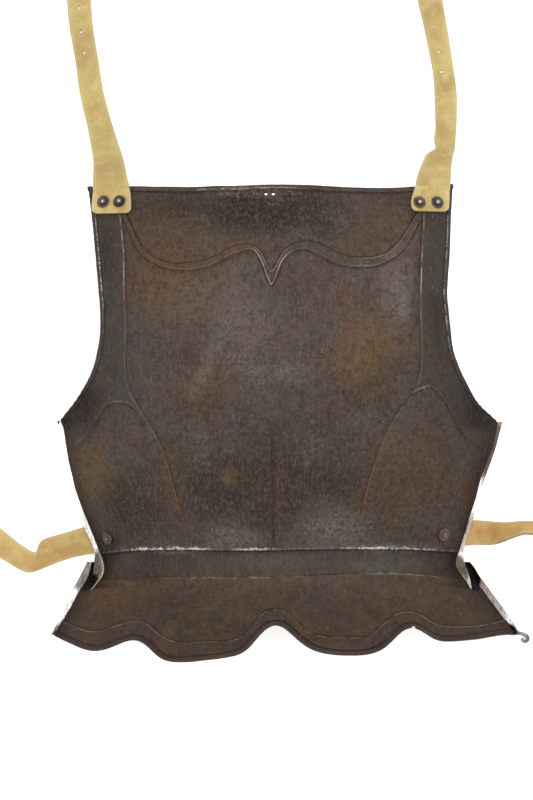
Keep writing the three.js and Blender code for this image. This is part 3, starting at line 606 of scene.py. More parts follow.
def unevenness(places):
    """Low waves that hammer work leaves in the sheet."""
    x, y = np.abs(places[..., 0]), places[..., 1]
    under_straps = fade(x, 104, 116) * np.maximum(fade(y, 70, 80), fade(-y, 172, 184) * fade(y, -226, -214))
    height = np.zeros(places.shape[:-1])
    for heading, start, size, rise in uneven:
        heading = heading / np.linalg.norm(heading)
        bent = places[..., 0] * heading[0] + y * heading[1] + 9 * np.sin(y / 31 + start)
        height += rise * 0.6 * np.sin(bent * 2 * math.pi / size + start)
    return height * (1 - under_straps)


def flange_features(around):
    """How far each place is out on the side flange, in its crease and on the steep plate beside it."""
    share = np.abs(around) - 1
    return {
        "flange": (share >= 0).astype(float),
        "crease": (share >= 0) * groove(share, 0.17),
        "steep": fade(share, -0.35, -0.03) * (share < 0),
        "ear": 0 * share,
    }


def roll_wear(roll):
    return np.clip(np.maximum(roll, 0) / roll_height, 0, 1)


neck_x = np.arange(-166, 156, line_step)
neck_line_at = on_bare(neck_x, neck_edge(neck_x), body_at)
rim_x = np.arange(-203, 224, line_step)
rim_line_at = on_bare(rim_x, rim(rim_x), skirt_at)


def body_relief(places, y, around):
    """Relief over the body, what the inner face shares of it, and how worn each place is, with its dirt and painted
    shade.
    """
    x = places[..., 0]
    side = np.where(around < 0, -1, 1)
    to_neck = along_line(neck_line_at, places)
    to_arm = np.where(side < 0, along_line(arm_line[-1], places), along_line(arm_line[1], places))
    to_rolled = np.minimum(to_neck, to_arm)
    roll = np.maximum(roll_rise(to_neck, 0.9), roll_rise(to_arm, 0.9))

    # The raised arm bands and the lines they run on in, which fade out towards the waist.
    lean = on_side(band_at, side, y + 0.5) - on_side(band_at, side, y - 0.5)
    to_band = side * (x - on_side(band_at, side, y)) / np.sqrt(1 + lean**2)
    on_line = fade(y, -204, -160)
    relief = arm_band_rise * fade(to_band, -0.7, 0.7) * on_line - 0.35 * groove(to_band + 0.8, 0.7) * on_line

    # The double ridge across the shoulders, with a fine groove on both sides.
    to_upper, to_lower = across_line(ridge_upper, x, y), across_line(ridge_lower, x, y)
    middle = fade(-to_band, 0, 2)
    beside_ridge = groove(to_upper - 0.9, 0.6) + groove(to_lower + 0.9, 0.6)
    on_ridge = fade(-to_upper, -0.6, 0.6) * fade(to_lower, -0.6, 0.6)
    relief += (ridge_rise * on_ridge - 0.4 * beside_ridge) * middle

    # Folds at the shoulder blades, the tongue-shaped arches below them and the spine's groove.
    to_scapular = np.minimum(*[along_line(line_on_body(line), places) for line in scapular_lines])
    to_underarm = np.minimum(*[along_line(line_on_body(line), places) for line in underarm_lines])
    under_arch = np.where(side < 0, *[np.interp(x, *np.transpose(line)) for line in underarm_lines]) > y
    above_arch = np.where(under_arch, -to_underarm, to_underarm)
    relief += 0.55 * groove(to_scapular, 1.3)
    relief += 0.45 * groove(above_arch - 0.6, 1.1) - 0.5 * groove(above_arch + 0.7, 0.8)
    to_spine = x - (spine_x + 1.2 * fade(-y, 100, 204))
    relief -= spine_depth * groove(to_spine, 1.7) * fade(-y, 84, 125) * (1 - fade(-y, 205, 207))

    # The waist band, sunk under a worn lip.
    to_top, to_low = across_line(band_top, x, y), across_line(band_low, x, y)
    share = np.clip(-to_top / 22, 0, 1)
    below = fade(-to_low, -0.7, 0.6)
    recess = fade(-to_top, -0.2, 1.0) * (waist_depth - 1.5 * share) * (1 - below)
    recess += 0.3 * below * (1 - fade(-to_low, 0.6, 3))
    near_side = fade(1 - np.abs(around), 0.0, 0.1)
    relief += (0.35 * groove(to_top - 0.9, 0.8) - recess) * near_side
    outer = np.where(roll > -5, roll, relief - 0.3 * groove(to_rolled - roll_width, 0.5))
    # Dirt and painted shade in the grooves under the waist's lip, at the feet of the rolls, beside the band lines
    # and the ridge, under the arches and along the spine.
    dirt_and_shade = groove(to_top + 0.6, 0.8) * near_side * (0.3 + 0.7 * groove(x + 5, 75))
    dirt_and_shade += groove(to_rolled - roll_width, 0.55) + groove(to_band + 0.8, 0.6) * on_line * 0.8
    dirt_and_shade += beside_ridge * middle * 0.75 + groove(above_arch + 0.6, 0.95) * 0.95
    dirt_and_shade += groove(to_spine, 1.5) * fade(-y, 84, 140) * (1 - fade(-y, 203, 207)) * 0.6
    skirt = fade(-to_low, -0.4, 0.4)
    return outer, relief, {
        "roll": roll_wear(roll),
        "line": groove(to_band - 0.4, 0.7) * on_line,
        "ridge": np.clip((groove(to_upper + 0.5, 0.7) + groove(to_lower - 0.5, 0.8)) * middle, 0, 1),
        "fold": groove(to_scapular, 1.2), "arch": groove(above_arch - 0.8, 0.9),
        "lip": groove(to_top - 1.2, 1.4) * near_side, "low": groove(to_low + 0.2, 0.7) * near_side,
        "crevice": np.clip(dirt_and_shade, 0, 1), "skirt": skirt, "band": fade(-to_top, 0.4, 1.2) * (1 - skirt),
        "arm": fade(to_band, -1.0, 1.0) * fade(y, -122, -96) * fade(above_arch, -0.6, 0.6),
        **flange_features(around),
    }


def skirt_relief(places, y, around):
    """The same for the skirt: its border stands a little above its bordering line, and its rim is rolled."""
    x = places[..., 0]
    to_line = across_line(border, x, y)
    to_edge = along_line(rim_line_at, places)
    step = border_rise * fade(-to_line, -0.7, 0.7)
    shared = step - 0.4 * groove(to_line - 0.9, 0.7)
    roll = roll_rise(to_edge, 1.8)
    rolled = np.where(roll > -5, step + 0.55 * roll, shared - 0.45 * groove(to_edge - roll_width, 0.6))
    # The skirt's crevice holds dirt and painted shade beside its bordering line and at the foot of its rim.
    return rolled, shared, {
        **dict.fromkeys(("ridge", "fold", "arch", "lip", "low", "band", "arm"), 0 * x),
        "roll": roll_wear(roll), "line": groove(to_line + 0.4, 0.8) * 0.8, "skirt": 0 * x + 1,
        "crevice": np.clip(groove(to_line - 0.9, 0.7) * 0.6 + groove(to_edge - roll_width, 0.7), 0, 1),
        **flange_features(around),
    }


body_y, body_around = whole_net(body_rows, body_places, body_at, -245, 109)
skirt_y, skirt_around = whole_net(skirt_rows, skirt_places, skirt_at, -304, -234)
body_bare, body_normal = bare_net(body_y, body_around, body_at)
skirt_bare, skirt_normal = bare_net(skirt_y, skirt_around, skirt_at)
ear_columns = 15
seam = slice(ear_columns + 1, -ear_columns - 1)
notch = [ear_columns, -ear_columns - 1]


def seam_row(values):
    """What the skirt's first row holds for each of the body's columns, whose flange ends at the notch."""
    ends = [np.repeat(values[:1, column], roll_columns, 0) for column in notch]
    return np.concatenate([ends[0], values[0, seam], ends[1]])


# The last body rows bend into the skirt's first row.
offset, turn = seam_row(skirt_bare) - body_bare[-1], seam_row(skirt_normal) - body_normal[-1]
for k, share in enumerate(flare_shares):
    bent = float(fade(share, 0, 1))
    body_bare[flare_start + k] += offset * bent
    body_normal[flare_start + k] += turn * bent
body_outer, body_inner, body_worn = body_relief(body_bare, body_y, body_around)
skirt_outer, skirt_inner, skirt_worn = skirt_relief(skirt_bare, skirt_y, skirt_around)


def faces_of(places, normals, around, outer, inner):
    """The sheet's upper and under points: relief and hammer waves, but plain metal out on the flanges."""
    inward = np.abs(around) < 1
    waves = unevenness(places) * inward
    upper_rise, under_rise = outer * inward + waves, inner * inward + waves - plate_thickness
    return places + normals * upper_rise[..., None], places + normals * under_rise[..., None]


body_top, body_under = faces_of(body_bare, body_normal, body_around, body_outer, body_inner)
skirt_top, skirt_under = faces_of(skirt_bare, skirt_normal, skirt_around, skirt_outer, skirt_inner)

# Beyond the notch the skirt's ear stands up beside the body's flange.
ears = {
    -1: {
        "y": [-220.4, -232.8, -239.6],
        "inner_x": [-157.6, -158.8, -160.4], "inner_z": [9, 14, 24],
        "crease_x": [-162.4, -165.3, -168.9], "crease_z": [10, 10.6, 11.4],
        "outer_x": [-166, -172.1, -175.7], "outer_z": [8, 7.6, 7.6],
    },
    1: {
        "y": [-220.4, -226, -232.2, -239.6],
        "inner_x": [162.4, 164.2, 165.8, 168.2], "inner_z": [9, 11, 14, 24],
        "crease_x": [167, 170.4, 173.2, 177.6], "crease_z": [10, 10.2, 10.6, 11.4],
        "outer_x": [170.2, 174.6, 178.2, 183.8], "outer_z": [8.6, 8.2, 8, 7.8],
    },
}
ear_rows = 14


def ear_root(values, side):
    """What the skirt's first row holds below an ear, from its outer edge inwards."""
    return values[0, :ear_columns] if side < 0 else values[0, : -ear_columns - 1 : -1]


def ear_net(side):
    """Rows from the ear's tip down to the skirt's first row, and columns from its outer edge inwards."""
    root = ear_root(skirt_bare, side)
    table = {name: list(values) for name, values in ears[side].items()}
    crease_column, inner_column = len(flange_shares) - 1, ear_columns - 1
    for name, column in [("outer", 0), ("crease", crease_column), ("inner", inner_column)]:
        table[name + "_x"].append(root[column, 0])
        table[name + "_z"].append(root[column, 2])
    table["y"].append(root[crease_column, 1])
    at = curves(table, "y")
    rows, inner_steps = [], inner_column - crease_column
    for k in range(ear_rows):
        y = mix(table["y"][0], table["y"][-1], k / ear_rows)
        corner = {n: np.array([at[n + "_x"](y), y, at[n + "_z"](y)]) for n in ("outer", "crease", "inner")}
        line = [mix(corner["crease"], corner["outer"], share) for share in flange_shares]
        line += [mix(corner["crease"], corner["inner"], j / inner_steps) for j in range(1, inner_steps + 1)]
        rows.append(line)
    return np.array(rows)


def smooth(mesh):
    mesh.polygons.foreach_set("use_smooth", np.ones(len(mesh.polygons), bool))


def keep(mesh, measures):
    """Keeps measures of a mesh's points for its finish."""
    for name, values in measures.items():
        layer = mesh.attributes.new(name, "FLOAT", "POINT")
        layer.data.foreach_set("value", np.full(len(mesh.vertices), values, np.float32))


class Sheet:
    """Gathers nets of outer and inner points into one closed mesh."""

    def __init__(self):
        self.outer, self.inner, self.worn, self.faces = [], [], {}, []
        self.count = 0

    def add(self, outer, inner, worn):
        ids = self.count + np.arange(outer.shape[0] * outer.shape[1]).reshape(outer.shape[:2])
        self.count += ids.size
        self.outer.append(outer.reshape(-1, 3))
        self.inner.append(inner.reshape(-1, 3))
        for name in worn:
            self.worn.setdefault(name, []).append(np.broadcast_to(worn[name], outer.shape[:2]).ravel())
        return ids

    def net(self, ids):
        quads = np.stack([ids[:-1, :-1], ids[1:, :-1], ids[1:, 1:], ids[:-1, 1:]], -1).reshape(-1, 4)
        self.faces += [tuple(dict.fromkeys(quad)) for quad in quads.tolist()]

    def mesh(self, name):
        top = [face for face in self.faces if len(face) > 2]
        edges = {(a, b) for face in top for a, b in zip(face, face[1:] + face[:1])}
        rim = [(b, a, a + self.count, b + self.count) for a, b in edges if (b, a) not in edges]
        under = [tuple(i + self.count for i in face[::-1]) for face in top]
        made = bpy.data.meshes.new(name)
        made.from_pydata(np.concatenate(self.outer + self.inner) * mm, [], top + under + sorted(rim))
        smooth(made)
        inner_side = [np.zeros(self.count)]
        keep(made, {feature: np.concatenate(values + inner_side) for feature, values in self.worn.items()})
        keep(made, {"outside": np.repeat([1.0, 0.0], self.count)})
        made.update()
        return made


plate_sheet = Sheet()
skirt_ids = plate_sheet.add(skirt_top, skirt_under, skirt_worn)
body_ids = plate_sheet.add(body_top[:-1], body_under[:-1], {n: v[:-1] for n, v in body_worn.items()})
plate_sheet.net(skirt_ids)
plate_sheet.net(np.vstack([body_ids, seam_row(skirt_ids)]))
for side in (-1, 1):
    net = ear_net(side)
    normals = unit(np.cross(np.gradient(net, axis=0), np.gradient(net, axis=1)) * -side)
    columns = np.arange(ear_columns)
    worn = dict.fromkeys(skirt_worn, 0.0)
    worn["flange"] = columns < len(flange_shares)
    worn["crease"] = groove(columns - len(flange_shares) + 1, 0.9)
    worn["skirt"], worn["ear"] = 1.0, 1.0
    ids = plate_sheet.add(net, net - normals * plate_thickness, worn)
    ids = np.vstack([ids, ear_root(skirt_ids, side)])
    plate_sheet.net(ids if side < 0 else ids[:, ::-1])

plate = in_scene("plate", plate_sheet.mesh("back_plate"))
neck_holes = [(-8.8, 97.2), (-2.6, 97.2)]
neck_hole_radius = 1.35


def pierced(holder, cutters):
    """The piece with round holes cut through it."""
    for place, axis, radius, depth in cutters:
        made = bpy.data.meshes.new("punch")
        body = bmesh.new()
        bmesh.ops.create_cone(body, cap_ends=True, segments=20, radius1=radius * mm, radius2=radius * mm,
                              depth=depth * mm)
        body.to_mesh(made)
        body.free()
        punch = in_scene("punch", made)
        punch.location = Vector(place) * mm
        punch.rotation_euler = Vector(axis).to_track_quat("Z", "Y").to_euler()
        cut = holder.modifiers.new("hole", "BOOLEAN")
        cut.operation, cut.solver, cut.object = "DIFFERENCE", "EXACT", punch
        bpy.context.view_layer.update()
        seen = holder.evaluated_get(bpy.context.evaluated_depsgraph_get())
        whole = bpy.data.meshes.new_from_object(seen)
        holder.modifiers.clear()
        holder.data = whole
        bpy.data.objects.remove(punch)


# Two small holes for a lace, high in the middle of the neck, and a torn place in the rim at the right cusp.
punched = [(on_body(np.array(x), np.array(y), 0), (0, 0.35, 1), neck_hole_radius, 14) for x, y in neck_holes]
cusp_x, tear_radius = np.array(117.4), 1.5
cusp = on_bare(cusp_x, rim(cusp_x), skirt_at)
pierced(plate, punched + [(cusp + (0, 0.4, 0), (0, 0.5, 1), tear_radius, 22)])

# The rim's end is drawn out at the right corner into a small curled hook.
hook_line = [
    (206.5, -284.2, 5.4), (210, -283.6, 4.6), (213.4, -283.2, 3.9), (217.2, -284, 3.5), (220.6, -286, 3.4),
    (221.4, -288.8, 3.3), (218.9, -290.5, 3.2), (216.6, -289.2, 3.1), (217.2, -287.4, 3.1),
]
hook_radius = [1.3, 1.3, 1.4, 1.5, 1.6, 1.6, 1.5, 1.3, 0.9]
hook_sides = 12
length = np.arange(len(hook_line))
fine = np.linspace(0, len(hook_line) - 1, 60)
path = np.stack([Curve({"s": length, "v": v}, "s", "v")(fine) for v in np.transpose(hook_line)], -1)
ahead = unit(np.gradient(path, axis=0))
aside = unit(np.cross((0, 0, 1), ahead))
above = np.cross(ahead, aside)
turns = np.linspace(0, 2 * math.pi, hook_sides, endpoint=False)
ring = aside[:, None] * np.cos(turns)[None, :, None] + above[:, None] * np.sin(turns)[None, :, None]


def ring_quads(ids):
    """Faces between rows of points, each row a closed ring."""
    shut = np.hstack([ids, ids[:, :1]])
    return np.stack([shut[:-1, :-1], shut[:-1, 1:], shut[1:, 1:], shut[1:, :-1]], -1).reshape(-1, 4).tolist()


def tube(name, points):
    """A closed mesh through rings of points, capped at both ends."""
    ids = np.arange(points.shape[0] * points.shape[1]).reshape(points.shape[:2])
    made = bpy.data.meshes.new(name)
    caps = [ids[0, ::-1].tolist(), ids[-1].tolist()]
    made.from_pydata(points.reshape(-1, 3) * mm, [], ring_quads(ids) + caps)
    smooth(made)
    return made


hook = in_scene("hook", tube("hook", path[:, None] + ring * np.interp(fine, length, hook_radius)[:, None, None]))
keep(hook.data, {"outside": 1.0, "flange": 1.0})
with bpy.context.temp_override(active_object=plate, selected_editable_objects=[plate, hook]):
    bpy.ops.object.join()

# Old blackened steel: brown and grey blotches, fine pits and rubbing, rust stains where damp has stood, and
# bare metal wherever hands, straps and other plates have rubbed an edge.
# Painted light is in the finish too: shade in the notches, the grooves, low on the back and on the steep sides, and
# highlights along the ridge, the arches and the band lines.
steel_paint = partial(paint, share=0.44)
steel = {
    "brown": steel_paint(84, 71, 62), "grey": steel_paint(92, 81, 76),
    "dark": steel_paint(62, 52, 49), "light": steel_paint(112, 99, 90),
    "umber": steel_paint(66, 52, 42), "bare": paint(222, 216, 208, 0.75),
    "worn": steel_paint(150, 143, 137), "ash": steel_paint(97, 92, 87),
    "pit": steel_paint(38, 32, 30), "blue_grey": steel_paint(84, 82, 82),
    "red_rust": steel_paint(112, 74, 44), "yellow_rust": steel_paint(132, 104, 60),
    "inside": steel_paint(46, 40, 36), "rust_brown": steel_paint(102, 76, 54),
    "plum": steel_paint(80, 65, 62), "black": steel_paint(20, 16, 15),
    "polished": (0.96, 0.96, 0.95),
}
# Marks are ovals: x and y of the middle, half sizes, turn in degrees and strength. Stains, with some painted shade
# and sheen, go on by tone.
stains = {
    "rust_brown": [
        (-98, 60, 62, 46, 0, 0.6), (92, 64, 48, 44, 0, 0.45), (-40, 52, 64, 16, 12, 0.7),
        (-92, 22, 60, 46, 0, 0.75), (84, -40, 46, 58, -16, 0.7), (-58, -58, 46, 44, -14, 0.45),
        (116, -146, 62, 70, 0, 0.55), (-148, -244, 48, 30, 0, 0.95), (130, -246, 44, 28, 0, 0.5),
    ],
    "plum": [
        (30, 14, 52, 46, 0, 0.75), (-74, -34, 66, 40, 0, 0.45), (26, -128, 74, 56, 0, 0.7),
        (38, -250, 40, 30, 0, 0.7),
    ],
    # Among the dark ovals, the broad one low on the back at (-6, -150) is painted shade, darkening the lower back.
    "dark": [
        (-6, 84, 104, 40, 0, 1), (-96, 88, 60, 20, 0, 0.55), (40, 72, 24, 34, 0, 0.7),
        (-24, -160, 84, 56, 0, 0.95), (-6, -150, 150, 84, 0, 0.6), (-144, 46, 12, 40, 0, 0.7),
        (136, -6, 13, 42, 0, 0.7), (40, -158, 46, 40, 0, 0.6), (-172, -84, 46, 34, 34, 1),
        (176, -88, 44, 34, -34, 1),
    ],
    "pit": [
        (-14, 83, 86, 26, 0, 0.85), (-176, -86, 36, 24, 40, 1), (182, -94, 34, 24, -40, 1),
        (-148, -204, 30, 22, 0, 0.7),
    ],
    "yellow_rust": [
        (-80, 14, 34, 40, 0, 0.22), (68, -40, 36, 52, -12, 0.34), (96, -30, 20, 24, 0, 0.3),
        (-64, -64, 14, 34, -20, 0.22), (-40, -143, 11, 15, 0, 0.5), (-159, -144, 34, 52, 14, 0.5),
    ],
    "red_rust": [
        (-104, 18, 30, 26, 30, 0.4), (62, -4, 16, 40, 0, 0.4), (-1, -160, 9, 56, 0, 0.4),
        (-88, -152, 9, 60, 14, 0.5), (76, -160, 10, 54, -10, 0.4), (91, -116, 10, 14, 0, 0.5),
        (172, -152, 20, 44, -14, 0.9), (-126, -88, 9, 7, 0, 0.6),
    ],
    "umber": [
        (-124, -168, 48, 54, 0, 0.9), (182, -128, 24, 60, -14, 1),
    ],
    "blue_grey": [
        (4, -4, 22, 16, 0, 0.5), (-118, -26, 26, 40, 0, 0.5), (-126, -70, 30, 20, -20, 0.6),
        (-40, -104, 10, 36, 0, 0.8),
    ],
    # The ash ovals on the waist band and above it are paler patina, partly painted sheen.
    "ash": [
        (-40, -192, 44, 24, 0, 0.6), (46, -182, 46, 36, 0, 0.75), (-10, -216, 64, 14, 0, 0.3),
        (98, -219, 60, 16, 0, 0.7), (60, -200, 60, 10, 0, 0.5),
    ],
    # The light ovals are paler patina, partly painted sheen, most of all on the chest.
    "light": [
        (-36, 2, 44, 50, 12, 0.6), (102, 16, 26, 62, 0, 0.95), (-56, -40, 13, 58, -20, 0.4),
        (10, -54, 52, 16, 0, 0.3), (-84, 4, 40, 50, 0, 0.3), (104, -122, 50, 44, 0, 0.3),
    ],
}
# Where use has rubbed the steel pale.
rub_marks = [
    (-28, -48, 34, 20, 0, 0.42), (-14, -62, 20, 14, 0, 0.4), (14, -56, 30, 18, 0, 0.42),
    (-20, -22, 50, 34, 0, 0.28), (-60, -52, 9, 44, -22, 0.4), (-44, -24, 7, 34, -14, 0.35),
    (104, 6, 13, 34, 8, 0.6), (-64, -122, 20, 30, 0, 0.3), (28, -118, 24, 26, 0, 0.35),
    (30, -96, 2.2, 3.4, 35, 1), (-38, -196, 46, 13, 0, 0.6), (50, -188, 54, 24, 0, 0.7),
    (-8, -216, 54, 10, 0, 0.2), (-92, -207, 50, 6, 0, 1), (100, -206, 56, 8, 0, 1), (-20, 100, 60, 9, 0, 1),
    (-2, 92, 14, 10, 0, 0.4), (-136, 68, 0.7, 8, 0, 0.9),
]
# Zones of the turned-out flanges: a mark, whether it stays off the ears, and its dark and bright tones.
flange_zones = {
    "strap_left": ((-158, -186, 16, 28, 16, 0.75), True, steel_paint(176, 160, 148), paint(240, 232, 224, 0.7)),
    "lens_left": ((-155, -224, 11, 20, 8, 0.95), True, steel_paint(88, 74, 63), steel_paint(146, 128, 110)),
    "ear_left": ((-169, -232, 22, 22, 0, 0.9), False, steel_paint(94, 76, 62), steel_paint(172, 154, 136)),
    # The lower left lens is painted near black, as shade under the body's flange.
    "lens_left_low_shade": ((-160, -239, 10, 12, 0, 1), True, steel_paint(20, 16, 15), steel_paint(52, 44, 38)),
    "edge_left": ((-185, -262, 16, 26, -28, 0.9), False, paint(190, 186, 182, 0.6), paint(246, 246, 246, 0.85)),
    "corner_left": ((-199, -288, 17, 21, -28, 0.95), False, steel_paint(38, 32, 30), steel_paint(160, 152, 146)),
    "rust_right": ((192, -124, 22, 42, 0, 0.95), True, steel_paint(92, 70, 54), steel_paint(132, 104, 82)),
    "chain_right": ((168, -196, 12, 24, -10, 0.75), True, steel_paint(128, 104, 92), paint(220, 206, 198, 0.6)),
    "lens_right": ((161, -226, 8, 19, 16, 0.95), True, steel_paint(84, 70, 58), steel_paint(150, 134, 116)),
    "edge_right": ((186, -248, 18, 34, 34, 0.9), False, steel_paint(108, 88, 82), steel_paint(190, 172, 164)),
    "edge_right_low": ((207, -275, 16, 18, 35, 0.8), False, steel_paint(120, 114, 110), paint(232, 232, 232, 0.7)),
    "hook": ((217, -287, 11, 9, 0, 0.95), False, steel_paint(52, 44, 42), steel_paint(190, 184, 180)),
}
# The dark inside of the notches, painted black as shade, blackened corners, and black left in the flanges' creases.
notch_shadows = [(-164, -233, 6, 14, -18, 1), (171.5, -231.5, 8.6, 15.5, 19, 1)]
black_tips = [(-192, -97.6, 2.4, 3, 0, 1), (208.6, -279.8, 3.2, 9, 40, 1)]
black_chains = [(-158.5, -219, 3, 4, 0, 0.9), (166, -192, 2.6, 22, -14, 0.9), (-194, -278, 9, 30, -30, 1)]


def oval(mark, core, edge):
    """A mark as a mask, ragged at its edge."""
    x, y, half_x, half_y, turn, strength = mark
    return place.patch((x, y), (half_x, half_y), turn, core, edge) * strength


def together(marks, edge, core):
    """All these marks as one mask."""
    mask = 0
    for mark in marks:
        mask = oval(mark, core, edge) + mask
    return mask.kept()


plate_finish, shader, place = new_finish("plate_steel_patina")
outside = place.feature("outside")
cloud = place.noise(0.06, detail=5, roughness=0.6, distortion=0.4)
hue = place.noise(0.013, detail=6, roughness=0.7)
blotch = place.noise(0.017, detail=6, roughness=0.66)
mottle = place.noise(0.0062, detail=5, roughness=0.72)
fleck = place.noise(0.0032, detail=4, roughness=0.75)
grain = place.noise(0.0015, detail=3, roughness=0.7)
skirt, band, arm, steep = (place.feature(name) for name in ("skirt", "band", "arm", "steep"))
colour = cloud.ramp(0.38, 0.62).blend(steel["brown"], steel["grey"])
skirt_brown = hue.ramp(0.42, 0.58).blend(steel_paint(76, 61, 53), steel_paint(96, 73, 53))
colour = colour.tint(skirt * (cloud.ramp(0.3, 0.6) * 0.3 + 0.6), skirt_brown)
band_grey = cloud.ramp(0.4, 0.6).blend(steel_paint(62, 56, 56), steel_paint(77, 71, 67))
colour = colour.tint(band * 0.75, band_grey)
colour = colour.tint(arm * outside * 0.85, steel_paint(75, 72, 68))
calm = 1 - (skirt * 0.6 + band * 0.7 + arm * 0.7).kept()
colour = colour.tint(hue.ramp(0.49, 0.6) * calm * 0.4, steel["rust_brown"])
colour = colour.tint((1 - hue.ramp(0.38, 0.5)) * calm * 0.4, steel["blue_grey"])
colour = colour.tint(blotch.ramp(0.5, 0.66) * (calm * 0.24 + 0.14), steel["light"])
colour = colour.tint((1 - blotch.ramp(0.36, 0.5)) * (calm * 0.27 + 0.16), steel["dark"])
wandering = ((place.noise(0.03, detail=5, roughness=0.65) - 0.3) * 0.55).kept()
frayed = ((place.noise(0.008, detail=4, roughness=0.7) - 0.3) * 0.6).kept()
patchy = (mottle * 3 - 0.45).kept(0.3, 1.4)
for tone, marks in stains.items():
    colour = colour.tint((together(marks, wandering, 0.25) * patchy).kept(), steel[tone])

rubbing = place.stretched((1, 0.06, 1), 4).noise(0.0014, detail=4, roughness=0.7)
crossing = place.stretched((1, 0.07, 1), 68).noise(0.0015, detail=4, roughness=0.7)
low_streaks = place.stretched((1, 0.04, 1)).noise(0.002, detail=3, roughness=0.6)
scratches = (rubbing.ramp(0.5, 0.62) * 0.5 + crossing.ramp(0.52, 0.64) * 0.42).kept() * (calm * 0.7 + 0.3)
colour = colour.tint(scratches, steel["light"])
low_zone = place.patch((-5, -165), (150, 70), core=0.5)
colour = colour.tint(low_streaks.ramp(0.5, 0.7) * low_zone * 0.3, steel["light"])
colour = colour.tint(mottle.ramp(0.51, 0.63) * (calm * 0.22 + 0.12), steel["light"])
colour = colour.tint((1 - mottle.ramp(0.38, 0.49)) * (calm * 0.26 + 0.16), steel["dark"])
colour = colour.tint(fleck.ramp(0.52, 0.64) * (calm * 0.24 + 0.18), steel["light"])
colour = colour.tint((1 - fleck.ramp(0.36, 0.48)) * (calm * 0.28 + 0.22), steel["dark"])
pitting = (1 - grain.ramp(0.3, 0.43)) * (blotch.ramp(0.35, 0.6) * 0.3 + 0.2)
colour = colour.tint(pitting, steel["pit"])

# Fine veins of bare metal where the back has rubbed against things, thin and branching.
winding = place.noise(0.007, detail=5, roughness=0.62, distortion=0.6) - 0.5
veins = 1 - winding.maths("ABSOLUTE", winding).ramp(0.006, 0.03)
rubbed = together(rub_marks, frayed, 0.3)
colour = colour.tint(rubbed * (veins * 0.6 + fleck.ramp(0.5, 0.62) * 0.35 + 0.06), steel["worn"])
nick = place.stretched((1, 0.45, 1), 30).noise(0.003, detail=2, roughness=0.5).ramp(0.7, 0.77)
colour = colour.tint(nick * 0.4, steel["worn"])
# Painted shade: the steep sides beside the flanges are darkened towards dark brown and umber.
colour = colour.tint(steep * outside * 0.5, hue.ramp(0.4, 0.6).blend(steel["dark"], steel["umber"]))

# Wear, dirt and painted shade on the lines and edges, with painted highlights on the raised ones, broken up so that
# no line runs on evenly.
broken = place.noise(0.009, detail=6, roughness=0.78).ramp(0.42, 0.58)
chipped = place.stretched((0.35, 1, 1)).noise(0.0022, detail=4, roughness=0.7)
crevice = place.feature("crevice")
roll, line, ridge_wear_and_highlight, fold, arch = (place.feature(name) for name in ("roll", "line", "ridge", "fold", "arch"))
lip, low_edge, flange, crease = (place.feature(name) for name in ("lip", "low", "flange", "crease"))
ear = place.feature("ear")
ridge_brown = (1 - place.patch((60, 45), (70, 60), core=0.5) * 0.7) * 0.4
ridge_edge = ridge_wear_and_highlight.ramp(0.4, 0.95)
colour = colour.tint(ridge_edge * (broken * 0.6 + 0.2) * (ridge_brown + 0.3), steel_paint(138, 112, 88))
# Painted highlight on the ridge's lit edges on the right and along the middle V.
ridge_right_highlight = place.patch((96, 52), (48, 52), core=0.4)
colour = colour.tint(ridge_edge * ridge_right_highlight * (broken * 0.5 + 0.2), steel_paint(158, 150, 142))
vee_highlight = place.patch((-4, 35), (22, 32), core=0.5)
colour = colour.tint(ridge_wear_and_highlight.ramp(0.6, 0.98) * vee_highlight * (broken * 0.5 + 0.5), steel_paint(196, 184, 172))
colour = colour.tint(fold * (broken * 0.25 + 0.12), steel_paint(116, 90, 62))
# Painted highlight on the arches' lit upper edges, strongest at their tops.
arch_top_highlight = place.patch((-133, -80), (14, 6), core=0.3) * 0.3 + place.patch((122, -68), (12, 6), core=0.3) * 0.6
colour = colour.tint(arch * (arch_top_highlight + 0.08) * (broken * 0.5 + 0.5), steel_paint(170, 158, 148))
# Painted highlight along the raised side of the band lines, strongest high on the back.
line_high = place.patch((0, 50), (200, 90), core=0.6) * 0.8 + 0.2
colour = colour.tint(line.ramp(0.5, 0.95) * line_high * (broken * 0.9 + 0.1), steel_paint(188, 178, 168))
colour = colour.tint(line.ramp(0.3, 0.75) * skirt * broken, steel_paint(172, 156, 142))
colour = colour.tint(line * (1 - line_high) * 0.4, steel_paint(112, 86, 60))
# Dirt and painted shade darken the grooves beside the lines and rolls.
colour = colour.tint(crevice * (broken * 0.35 + 0.42), steel["pit"])
roll_sides = roll.ramp(0.15, 0.45) * (1 - roll.ramp(0.7, 0.98) * 0.6)
edge_chips = (roll_sides + (chipped - 0.5) * 2.6 - 0.55).ramp(0.15, 0.5) * roll_sides * (1 - skirt)
hard_worn = (place.patch((-152, 46), (30, 56), core=0.5) + place.patch((148, 20), (30, 80), core=0.5)
             + place.patch((-22, 102), (60, 16), core=0.5)).kept() * 0.7 + 0.2
colour = colour.tint(edge_chips * hard_worn * (broken * 0.8 + 0.2), steel_paint(190, 183, 176))
colour = colour.tint(roll.ramp(0.2, 0.9) * skirt * 0.6, steel_paint(72, 62, 60))
lip_left = place.patch((-92, -209), (44, 14), core=0.4)
lip_middle = place.patch((-20, -207), (22, 12), core=0.2)
lip_right = place.patch((98, -208), (50, 14), core=0.4)
lip_worn = (lip_left + lip_middle * 0.6 + lip_right * 0.9 + 0.1).kept()
lip_chips = (lip - 0.4 + (chipped - 0.5) * 3 + (fleck - 0.5) * 3).ramp(0.2, 0.7)
colour = colour.tint(lip_chips * lip_worn * lip.ramp(0.1, 0.6) * 0.8, paint(206, 198, 192, 0.62))
low_bright = place.patch((-35, -231), (70, 14), core=0.6) * 0.6 + place.patch((112, -229), (44, 14), core=0.5) * 0.9
